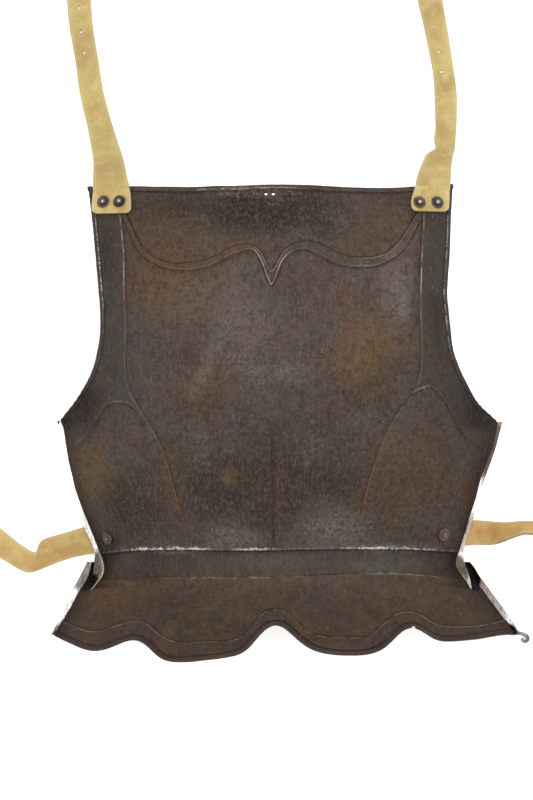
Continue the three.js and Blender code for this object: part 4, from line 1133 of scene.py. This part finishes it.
colour = colour.tint((low_edge * (low_bright + 0.12) * (broken * 0.8 + 0.2)).kept(), steel_paint(190, 176, 160))

# The flanges are bare and bright, but brown where the waist strap rubs and in the notches.
fine_stripes = place.stretched((1, 0.1, 1), 12).noise(0.0016, detail=3, roughness=0.7)
bare_steel = (fleck.ramp(0.4, 0.58) * 0.7).blend(steel["polished"], steel["bare"])
colour = colour.tint(flange, bare_steel)
for mark, off_ears, dark, bright in flange_zones.values():
    mask = flange * oval(mark, 0.6, frayed * 0.5)
    if off_ears:
        mask = mask * (1 - ear)
    colour = colour.tint(mask, fine_stripes.ramp(0.34, 0.66).blend(dark, bright))
lens = place.patch((-160, -228), (12, 20), core=0.7) + place.patch((173, -230), (12, 20), core=0.7)
colour = colour.tint(crease * lens.kept() * (1 - ear) * 0.8, steel["bare"])
right_ear = ear * place.patch((176, -230), (24, 28), core=0.8)
# Painted shade: the notches and the inner faces of the skirt's ears, deep under the body's flange, are painted
# black.
recess = together(notch_shadows, frayed * 0.2, 0.75) * (1 - flange * (1 - right_ear)) + ear * (1 - flange)
dented = together(black_tips, frayed * 0.5, 0.5)
chained = together(black_chains, frayed, 0.5) * fleck.ramp(0.45, 0.55) * (crease * 1.6 + steep * 0.5).kept()
colour = colour.tint((recess + dented + chained).kept(), steel["black"])
colour = colour.tint((1 - outside) * 0.9, steel["inside"])

bare_metal = (lip_chips * lip_worn + flange).kept()
rough = (0.6 + (blotch - 0.5) * 0.3 + (fleck - 0.5) * 0.3 - bare_metal * 0.15 + steep * 0.15).kept(0.3, 0.9)
metal = (0.55 + bare_metal * 0.4 - (1 - outside) * 0.3 + steep * 0.36).kept(0.1, 0.95)
height = blotch * 0.5 + mottle * 0.45 + fleck * 0.4 + grain * 0.16 - pitting * 0.35 + rubbing * 0.1 + crossing * 0.1
relief_normal = bump(height, 0.7, 0.0009)
feed(shader, Base_Color=colour, Roughness=rough, Metallic=metal, Specular_IOR_Level=0.25,
     Specular_Tint=(0.35, 0.33, 0.32, 1), Normal=relief_normal)


def dress(piece, finish, node):
    """Gives a piece its finish, hangs it under the root body and hides the solid of the part it takes the place of.
    """
    piece.data.materials.append(finish)
    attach(piece, "root")
    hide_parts(node)


dress(plate, plate_finish, "back_plate")

# Shoulder straps.
# Two bands of buff leather, each riveted to the arm band at the shoulder, falling over the neck edge to the
# table, and punched with round holes for a buckle's tongue.
strap_thickness = 2.6
strap_gap = 0.35
cad_roll_rise = 1.9
shoulder_fall = {
    "y": [104, 114, 124, 134, 144, 154, 164, 174, 184, 194, 204, 214],
    "kept": [1, 0.93, 0.81, 0.66, 0.5, 0.35, 0.225, 0.125, 0.055, 0.015, 0, 0],
}
shoulder_straps = {
    -1: {
        "y": [83.8, 90, 97, 102.6, 108, 114, 124, 134, 146, 158, 170, 181, 191, 204, 226, 243, 262, 300.4],
        "x": [-139.9, -139.8, -139.9, -140.2, -140.9, -142, -143.9, -146, -149.4, -152.8, -156.2, -159.3,
              -161.8, -164, -167.3, -170.3, -172.5, -174.5],
        "width": [33.4, 33, 31.9, 30.8, 30, 28.9, 27.4, 26, 24.3, 22.8, 21.9, 21.4, 21.1, 20.6, 20.4, 20.7, 21,
                  20.6],
        "ends": (80.4, 300.4), "neck": 105,
    },
    1: {
        "y": [85, 91, 97, 104.2, 109.6, 114, 121, 130, 135.4, 137.6, 148, 158, 168, 178, 188, 204, 222, 241,
              257, 273, 300.4],
        "x": [130.5, 130.6, 131.6, 132.9, 133.9, 134.8, 136.8, 140, 142.6, 144.8, 147.2, 148.4, 149, 149.3,
              149.3, 148.2, 145.3, 142, 138.8, 135.7, 131.2],
        "width": [31.6, 32.4, 31, 29.6, 29.2, 28.7, 27.3, 25.1, 22.7, 19.8, 18.5, 18.4, 18.7, 19.2, 19.5, 18.9,
                  18.9, 20, 20.8, 21.8, 22.2],
        "ends": (82.0, 300.4), "neck": 107,
    },
}
buckle_holes = {
    -1: [(-173.2, 266.7), (-171.3, 245.7), (-168.4, 227.2)],
    1: [(143.4, 228.5), (145.9, 210.4), (148.9, 192.2)],
}
buckle_hole_radius = 1.35
kept_at = Curve(shoulder_fall, "y", "kept")


def strap_lift(x, y, side):
    """How far the strap's upper face is from the bare plate."""
    over_neck = fade(y, 96, 101.5)
    to_arm = side * (arm_at[side_name[side]](y) - x)
    over_arm = 1 - fade(to_arm, roll_width, roll_width + 6)
    rise = mix(arm_band_rise, cad_roll_rise, np.maximum(over_neck, over_arm))
    return rise + strap_gap + strap_thickness


# A strap's section: shares across it and depths below its upper face, round the cut edges.
edge_round = [(-0.955, 0.03), (-0.985, 0.2), (-1, 0.62), (-1, 1.98), (-0.985, 2.4), (-0.955, 2.57)]
across_top = list(np.linspace(-0.92, 0.92, 15))


def strap_mesh(name, along, face):
    """A closed strap; face gives its upper face's places from how far along and across it they are."""
    section = [(a, 0.0) for a in across_top] + [(-a, depth) for a, depth in edge_round]
    section += [(a, strap_thickness) for a in across_top[::-1]] + edge_round[::-1]
    across, depth = np.transpose(section)
    along, tiny = along[:, None], 0.01
    ahead = face(np.clip(along + tiny, along[0], along[-1]), 0 * across)
    behind = face(np.clip(along - tiny, along[0], along[-1]), 0 * across)
    right = face(along, 0 * across + 0.3) - face(along, 0 * across - 0.3)
    made = tube(name, face(along, across) - unit(np.cross(right, ahead - behind)) * depth[:, None])
    edge, back = np.abs(across) ** 6, np.clip(depth / strap_thickness, 0, 1)
    keep(made, {"edge": np.tile(edge, len(along)), "back": np.tile(back, len(along))})
    made.update()
    return made


def shoulder_face(side):
    """The strap's rows and upper face: on the plate up to the neck, then falling to the table."""
    table = shoulder_straps[side]
    x_at, width_at = Curve(table, "y", "x"), Curve(table, "y", "width")
    start, end = table["ends"]
    corner, free_corner = 4.2, 2.2
    neck = table["neck"]

    def face(y, across):
        y = y + 0 * across
        across = across + 0 * y
        reach = np.clip(y, start + 0.02, end - 0.02)
        from_end = np.minimum(reach - start, corner)
        from_tip = np.minimum(end - reach, free_corner)
        trim = corner - np.sqrt(corner**2 - (corner - from_end) ** 2)
        trim = trim + free_corner - np.sqrt(free_corner**2 - (free_corner - from_tip) ** 2)
        half = width_at(y) / 2 - trim
        x = x_at(y) + across * half
        seat_x = x_at(neck) + across * width_at(neck) / 2
        lying = on_body(x, np.minimum(y, neck), strap_lift(x, np.minimum(y, neck), side))
        seat = on_body(seat_x, neck + 0 * y, strap_lift(seat_x, neck + 0 * y, side))
        wave = 0.22 * np.sin(y / 7.3 + side) * np.sin(y / 16.1) * fade(y, 110, 130)
        free_z = strap_thickness + (seat[..., 2] - strap_thickness) * np.maximum(kept_at(y), 0)
        free_z = free_z + np.maximum(wave, 0)
        lean = 1 - fade(y, neck, neck + 24)
        falling = np.stack([x + (seat[..., 0] - seat_x) * lean, y, free_z], -1)
        over = fade(y, neck - 3.5, neck + 0.5)[..., None]
        return mix(lying, falling, over)

    ends = np.concatenate([
        start + corner * (1 - np.cos(np.linspace(0.02, math.pi / 2, 9))),
        np.arange(start + corner + 0.8, end - free_corner, 0.9),
        end - free_corner * (1 - np.cos(np.linspace(math.pi / 2, 0.03, 6))),
    ])
    return ends, face


leather_paint = partial(paint, share=0.5)


def buff_leather(name, face, stain):
    """Buff leather: a fine soft nap, cloudy brown stains, darker handling marks and paler cut edges, with painted
    shade at their outermost sides.
    """
    finish, shader, place = new_finish(name)
    edge, back = place.feature("edge"), place.feature("back")
    cloud = place.noise(0.035, detail=4, roughness=0.55, distortion=0.6)
    blotch = place.noise(0.009, detail=5, roughness=0.6)
    fibre = place.stretched((1, 0.35, 1), 5).noise(0.0014, detail=4, roughness=0.7)
    pore = place.noise(0.0007, detail=2, roughness=0.6)
    colour = cloud.ramp(0.35, 0.68).blend(face, stain)
    colour = colour.tint(blotch.ramp(0.5, 0.72) * 0.5, stain)
    colour = colour.tint((1 - blotch.ramp(0.3, 0.48)) * 0.4, leather_paint(224, 206, 144))
    colour = colour.tint(fibre.ramp(0.5, 0.72) * 0.3, leather_paint(150, 120, 68))
    colour = colour.tint((1 - pore.ramp(0.32, 0.46)) * 0.35, leather_paint(120, 92, 50))
    colour = colour.tint(edge * 0.45, leather_paint(226, 208, 152))
    # Painted shade: the strap's outermost sides are darkened, as an outline.
    colour = colour.tint(edge.ramp(0.86, 0.99) * 0.6, leather_paint(110, 84, 46))
    colour = colour.tint(back.ramp(0.25, 0.6) * 0.5, leather_paint(150, 118, 72))
    height = blotch * 0.6 + fibre * 0.4 + pore * 0.25
    rough = (0.74 + (blotch - 0.5) * 0.2).kept()
    feed(shader, Base_Color=colour, Roughness=rough, Normal=bump(height, 0.5, 0.0006))
    return finish


shoulder_leather = buff_leather("buff_leather_shoulder", leather_paint(206, 184, 112), leather_paint(182, 152, 86))
for side, name in side_name.items():
    strap = in_scene(f"strap_shoulder_{name}", strap_mesh(f"shoulder_{name}", *shoulder_face(side)))
    pierced(strap, [((x, y, 1), (0, 0, 1), buckle_hole_radius, 12) for x, y in buckle_holes[side]])
    dress(strap, shoulder_leather, f"shoulder_strap_{name}")

# Waist straps.
# Narrower bands of the same leather, riveted inside the side walls; each passes under the side flange and
# lies out on the table, the left one buckled up in a fold and the right one twisted on its edge.
strap_slack = 1.05
waist_inside = {
    -1: {"around": [0.63, 0.72, 0.81, 0.89, 0.945], "upper": [-186.6, -187, -187.6, -188.2, -188.8],
         "lower": [-208.6, -209.2, -210, -210.9, -211.7]},
    1: {"around": [0.58, 0.67, 0.77, 0.87, 0.94], "upper": [-184.3, -184.1, -184, -184, -184],
        "lower": [-205.4, -205.5, -205.6, -205.8, -206]},
}
waist_outside = {
    -1: [
        ((-160.4, -189.4, 7.4), (-151.4, -212.3, 10.8)), ((-169, -190.2, 5), (-160, -212.9, 7)),
        ((-176, -192.2, 3.6), (-166.4, -214.2, 4.2)), ((-183, -194.2, 2.8), (-172, -215.4, 2.9)),
        ((-197.1, -198.2, 2.6), (-184.6, -218.6, 2.6)), ((-206.4, -202.6, 4.2), (-198.7, -224, 2.6)),
        ((-208.9, -208.4, 6.6), (-207.6, -227.8, 2.6)), ((-211.4, -212.4, 6.2), (-214.6, -230, 2.6)),
        ((-219.6, -209, 3.4), (-221.4, -229.4, 2.6)), ((-230.1, -201.2, 2.6), (-231.6, -224, 2.6)),
        ((-242.7, -191, 2.6), (-247, -214.2, 2.6)), ((-248.6, -186.4, 2.6), (-262, -204.4, 2.6)),
    ],
    1: [
        ((165, -184, 7), (158.2, -206, 8.6)), ((174, -184, 4.8), (167.8, -206, 5.8)),
        ((181.4, -184.3, 3.2), (178, -205.6, 4.4)), ((189, -184.8, 2.6), (189.4, -205, 7.8)),
        ((195, -185.2, 2.4), (195.6, -202.8, 12.8)), ((202, -185.5, 2), (202, -199.6, 17.2)),
        ((210, -184.8, 1.7), (209.4, -196.3, 18.9)), ((218, -184.3, 1.5), (217.4, -194, 19.6)),
        ((227, -184.4, 1.6), (226.6, -195, 19)), ((235, -184.8, 2), (234.4, -198.6, 15.2)),
        ((242, -185, 2.4), (241.6, -203, 8.6)), ((248, -185, 2.6), (247.8, -205.4, 3.6)),
        ((253, -185, 2.6), (253, -206, 2.6)), ((262, -185, 2.6), (262, -206, 2.6)),
    ],
}


def waist_face(side):
    """Five lines along the strap, joined across it: inside the plate they follow it, then they are free."""
    inside = {key: np.array(values) for key, values in waist_inside[side].items()}
    free_upper, free_lower = np.moveaxis(np.array(waist_outside[side]), 1, 0)
    around = side * inside["around"]
    lines = []
    for share in np.linspace(0, 1, 5):
        y = mix(inside["upper"], inside["lower"], share)
        near = bare(y, around, body_at) - normal_at(y, around, body_at) * (plate_thickness + strap_slack)
        lines.append(np.concatenate([near, mix(free_upper, free_lower, share)]))
    length = lengths(lines[2])
    at = [[Curve({"s": length, "v": values}, "s", "v") for values in line.T] for line in lines]

    def face(s, across):
        s = s + 0 * across
        share = (across + 0 * s) * side / 2 + 0.5
        here = np.array([[curve(s) for curve in line] for line in at])
        k = np.clip((share * 4).astype(int), 0, 3)
        low = np.take_along_axis(here, k[None, None], 0)[0]
        high = np.take_along_axis(here, k[None, None] + 1, 0)[0]
        place = np.moveaxis(mix(low, high, share * 4 - k), 0, -1)
        raised = np.maximum(fade(place[..., 2], 2.2, 3.2), side > 0)
        place[..., 2] = mix(np.maximum(place[..., 2], strap_thickness), place[..., 2], raised)
        return place

    return np.arange(0, length[-1], 0.8), face


waist_tones = {-1: ((212, 182, 108), (186, 146, 74)), 1: ((216, 172, 96), (190, 142, 70))}
for side, name in side_name.items():
    leather = buff_leather(f"buff_leather_waist_{name}", *(leather_paint(*tone) for tone in waist_tones[side]))
    strap = in_scene(f"strap_waist_{name}", strap_mesh(f"waist_{name}", *waist_face(side)))
    dress(strap, leather, f"waist_strap_{name}")

# Rivets and washers.
# Iron rivets with hammered heads; at the shoulders each is set through a domed washer that keeps the leather
# from tearing, and at the waist the broad head lies straight on the plate, dished and worn in rings.
shank_radius = 2.0
shoulder_rivets = {-1: [(-146.5, 90), (-132.9, 89.8)], 1: [(121.1, 89), (136.4, 89.4)]}
waist_rivets = {-1: (-145.7, -197.9), 1: (144.8, -194.6)}
turn_steps = 40


def turned(name, profile, roughness):
    """A solid of revolution about Z from radius and height pairs, with a little hand-work unevenness."""
    ring = np.linspace(0, 2 * math.pi, turn_steps, endpoint=False)
    points = []
    for r, (radius, height) in enumerate(profile):
        wobble = 1 + roughness * np.sin(3 * ring + r * 0.4) + roughness * 0.7 * np.sin(5 * ring + 1.3)
        lift = height + roughness * 2.2 * np.sin(2 * ring + 0.8) * min(radius / 4, 1)
        points += list(zip(radius * np.cos(ring) * wobble, radius * np.sin(ring) * wobble, lift))
    ids = np.arange(len(points)).reshape(-1, turn_steps)
    if profile[0][0] > 0:
        ids = np.vstack([ids, ids[:1]])
    made = bpy.data.meshes.new(name)
    made.from_pydata(np.array(points) * mm, [], ring_quads(ids))
    body = bmesh.new()
    body.from_mesh(made)
    bmesh.ops.remove_doubles(body, verts=body.verts, dist=1e-6)
    bmesh.ops.dissolve_degenerate(body, edges=body.edges, dist=1e-7)
    bmesh.ops.recalc_face_normals(body, faces=body.faces)
    body.to_mesh(made)
    body.free()
    smooth(made)
    x, y, _ = np.array([v.co for v in made.vertices]).T / mm
    keep(made, {"radius": np.hypot(x, y)})
    return made


washer_profile = [
    (2.3, 0), (5.0, 0), (5.35, 0.12), (5.5, 0.45), (5.35, 0.85), (4.95, 1.1), (4.5, 1.08), (4.0, 0.86), (3.5, 0.66),
    (3.0, 0.6), (2.55, 0.6), (2.3, 0.5),
]


def rivet_profile(head, top, bottom):
    """A rivet from its hammered tail up through the shank to the head."""
    dome = [(radius, top + height) for radius, height in head]
    tail = [(0, bottom - 1.2), (1.6, bottom - 1.2), (2.9, bottom - 0.95), (3.6, bottom - 0.5), (3.8, bottom - 0.1),
            (3.7, bottom)]
    return tail + [(shank_radius, bottom), (shank_radius, top)] + dome


shoulder_head = [
    (2.5, 0), (2.75, 0.1), (2.75, 0.3), (2.55, 0.6), (2.15, 0.86), (1.6, 1.04), (1.0, 1.12), (0.5, 1.1), (0, 1.06),
]
waist_head = [
    (5.7, 0), (6.1, 0.15), (6.05, 0.5), (5.6, 0.95), (5.0, 1.2), (4.5, 1.15), (4.0, 1.2), (3.3, 1.5), (2.7, 1.55),
    (2.2, 1.5), (1.5, 1.8), (0.7, 1.95), (0, 2.0),
]


def seat_on_plate(mesh, name, x, y, lift):
    """Puts a turned piece on the plate, with its axis along the plate's normal."""
    x, y = np.array(x), np.array(y)
    normal = Vector(normal_at(y, around_at(x, y, body_at), body_at))
    turn = normal.to_track_quat("Z", "Y").to_matrix().to_4x4()
    turn.translation = Vector(on_body(x, y, np.array(lift))) * mm
    mesh.transform(turn)
    return in_scene(name, mesh)


# How far above the plate each part of a rivet sits, with a little play between the parts.
play = 0.3
strap_top = arm_band_rise + strap_gap + strap_thickness
washer_seat = strap_top + 0.55
washer_floor = 0.66
shoulder_head_seat = washer_seat + washer_floor + play
shoulder_tail_seat = -plate_thickness - strap_gap - play
waist_head_seat = 0.55
waist_tail_seat = -plate_thickness - strap_slack - strap_thickness - strap_gap - play


def browned_iron(name, ring, dome, dome_radius, rust=0.3, glint=0.0):
    """Iron browned with age, rubbed bright on the rivet's crown, with dirt and painted shade round the crown and a
    painted glint at its middle.
    """
    finish, shader, place = new_finish(name)
    radius = place.feature("radius")
    fleck = place.noise(0.0016, detail=4, roughness=0.7)
    cloud = place.noise(0.005, detail=3)
    colour = cloud.ramp(0.4, 0.65).blend(ring, steel_paint(96, 80, 62))
    colour = colour.tint(fleck.ramp(0.5, 0.75) * rust, steel["red_rust"])
    crown = 1 - (radius + (fleck - 0.5) * 0.8).ramp(dome_radius - 0.35, dome_radius + 0.25)
    round_dome = 1 - radius.ramp(dome_radius + 0.4, dome_radius + 1.2)
    # Dirt and painted shade in the ring round the crown.
    dirt_and_shade = radius.ramp(dome_radius - 0.2, dome_radius + 0.2) * round_dome
    colour = colour.tint(dirt_and_shade * 0.8, steel["pit"])
    rings = radius * 5.2 + fleck * 1.5
    colour = colour.tint(rings.maths("SINE", rings).ramp(0.2, 0.9) * 0.3, steel["dark"])
    colour = colour.tint(crown * (fleck * 0.5 + 0.6).kept(), dome)
    # A painted glint: a highlight at the crown's middle.
    painted_glint = (1 - (radius + (fleck - 0.5) * 2).ramp(0.5, 1.3)) * glint
    colour = colour.tint(painted_glint, paint(240, 230, 226, 0.7))
    height = fleck * 0.6 + cloud * 0.4
    rough = (0.55 - crown * 0.15 + (fleck - 0.5) * 0.3).kept()
    feed(shader, Base_Color=colour, Roughness=rough, Metallic=0.6 + crown * 0.2, Normal=bump(height, 0.5, 0.0004))
    return finish


# Each iron's outer ring and dome, the dome's radius, its share of rust and the painted glint at its middle.
iron_tones = {
    "browned_iron": ((112, 94, 74), (92, 80, 66), 2.4, 0.5),
    "blackened_iron": ((62, 56, 50), (80, 72, 62), 2.4, 0.15),
    "greyed_iron": ((92, 92, 90), (100, 96, 90), 2.4, 0.15),
    "rubbed_glinting_iron": ((66, 56, 50), (150, 132, 130), 2.2, 0.1, 0.75),
    "browned_iron_waist_left": ((50, 40, 35), (74, 62, 56), 1.6, 0.25, 0.3),
    "browned_iron_waist_right": ((122, 102, 88), (150, 126, 108), 2.4),
}
iron = {
    name: browned_iron(name, steel_paint(*ring), steel_paint(*dome), *rest)
    for name, (ring, dome, *rest) in iron_tones.items()
}
washer_iron = {-1: ("browned_iron", "blackened_iron"), 1: ("browned_iron", "greyed_iron")}
for side, name in side_name.items():
    for k, (x, y) in enumerate(shoulder_rivets[side]):
        end = f"{name}_{k + 1}"
        washer = seat_on_plate(turned(f"washer_{end}", washer_profile, 0.012), f"washer_{end}", x, y, washer_seat)
        profile = rivet_profile(shoulder_head, shoulder_head_seat, shoulder_tail_seat)
        rivet = seat_on_plate(turned(f"rivet_{end}", profile, 0.02), f"rivet_shoulder_{end}", x, y, 0)
        dress(washer, iron[washer_iron[side][k]], f"shoulder_washer_{end}")
        dress(rivet, iron["rubbed_glinting_iron"], f"shoulder_rivet_{end}")
    profile = rivet_profile(waist_head, waist_head_seat, waist_tail_seat)
    mesh = turned(f"waist_rivet_{name}", profile, 0.02)
    rivet = seat_on_plate(mesh, f"rivet_waist_{name}", *waist_rivets[side], 0)
    dress(rivet, iron[f"browned_iron_waist_{name}"], f"waist_rivet_{name}")
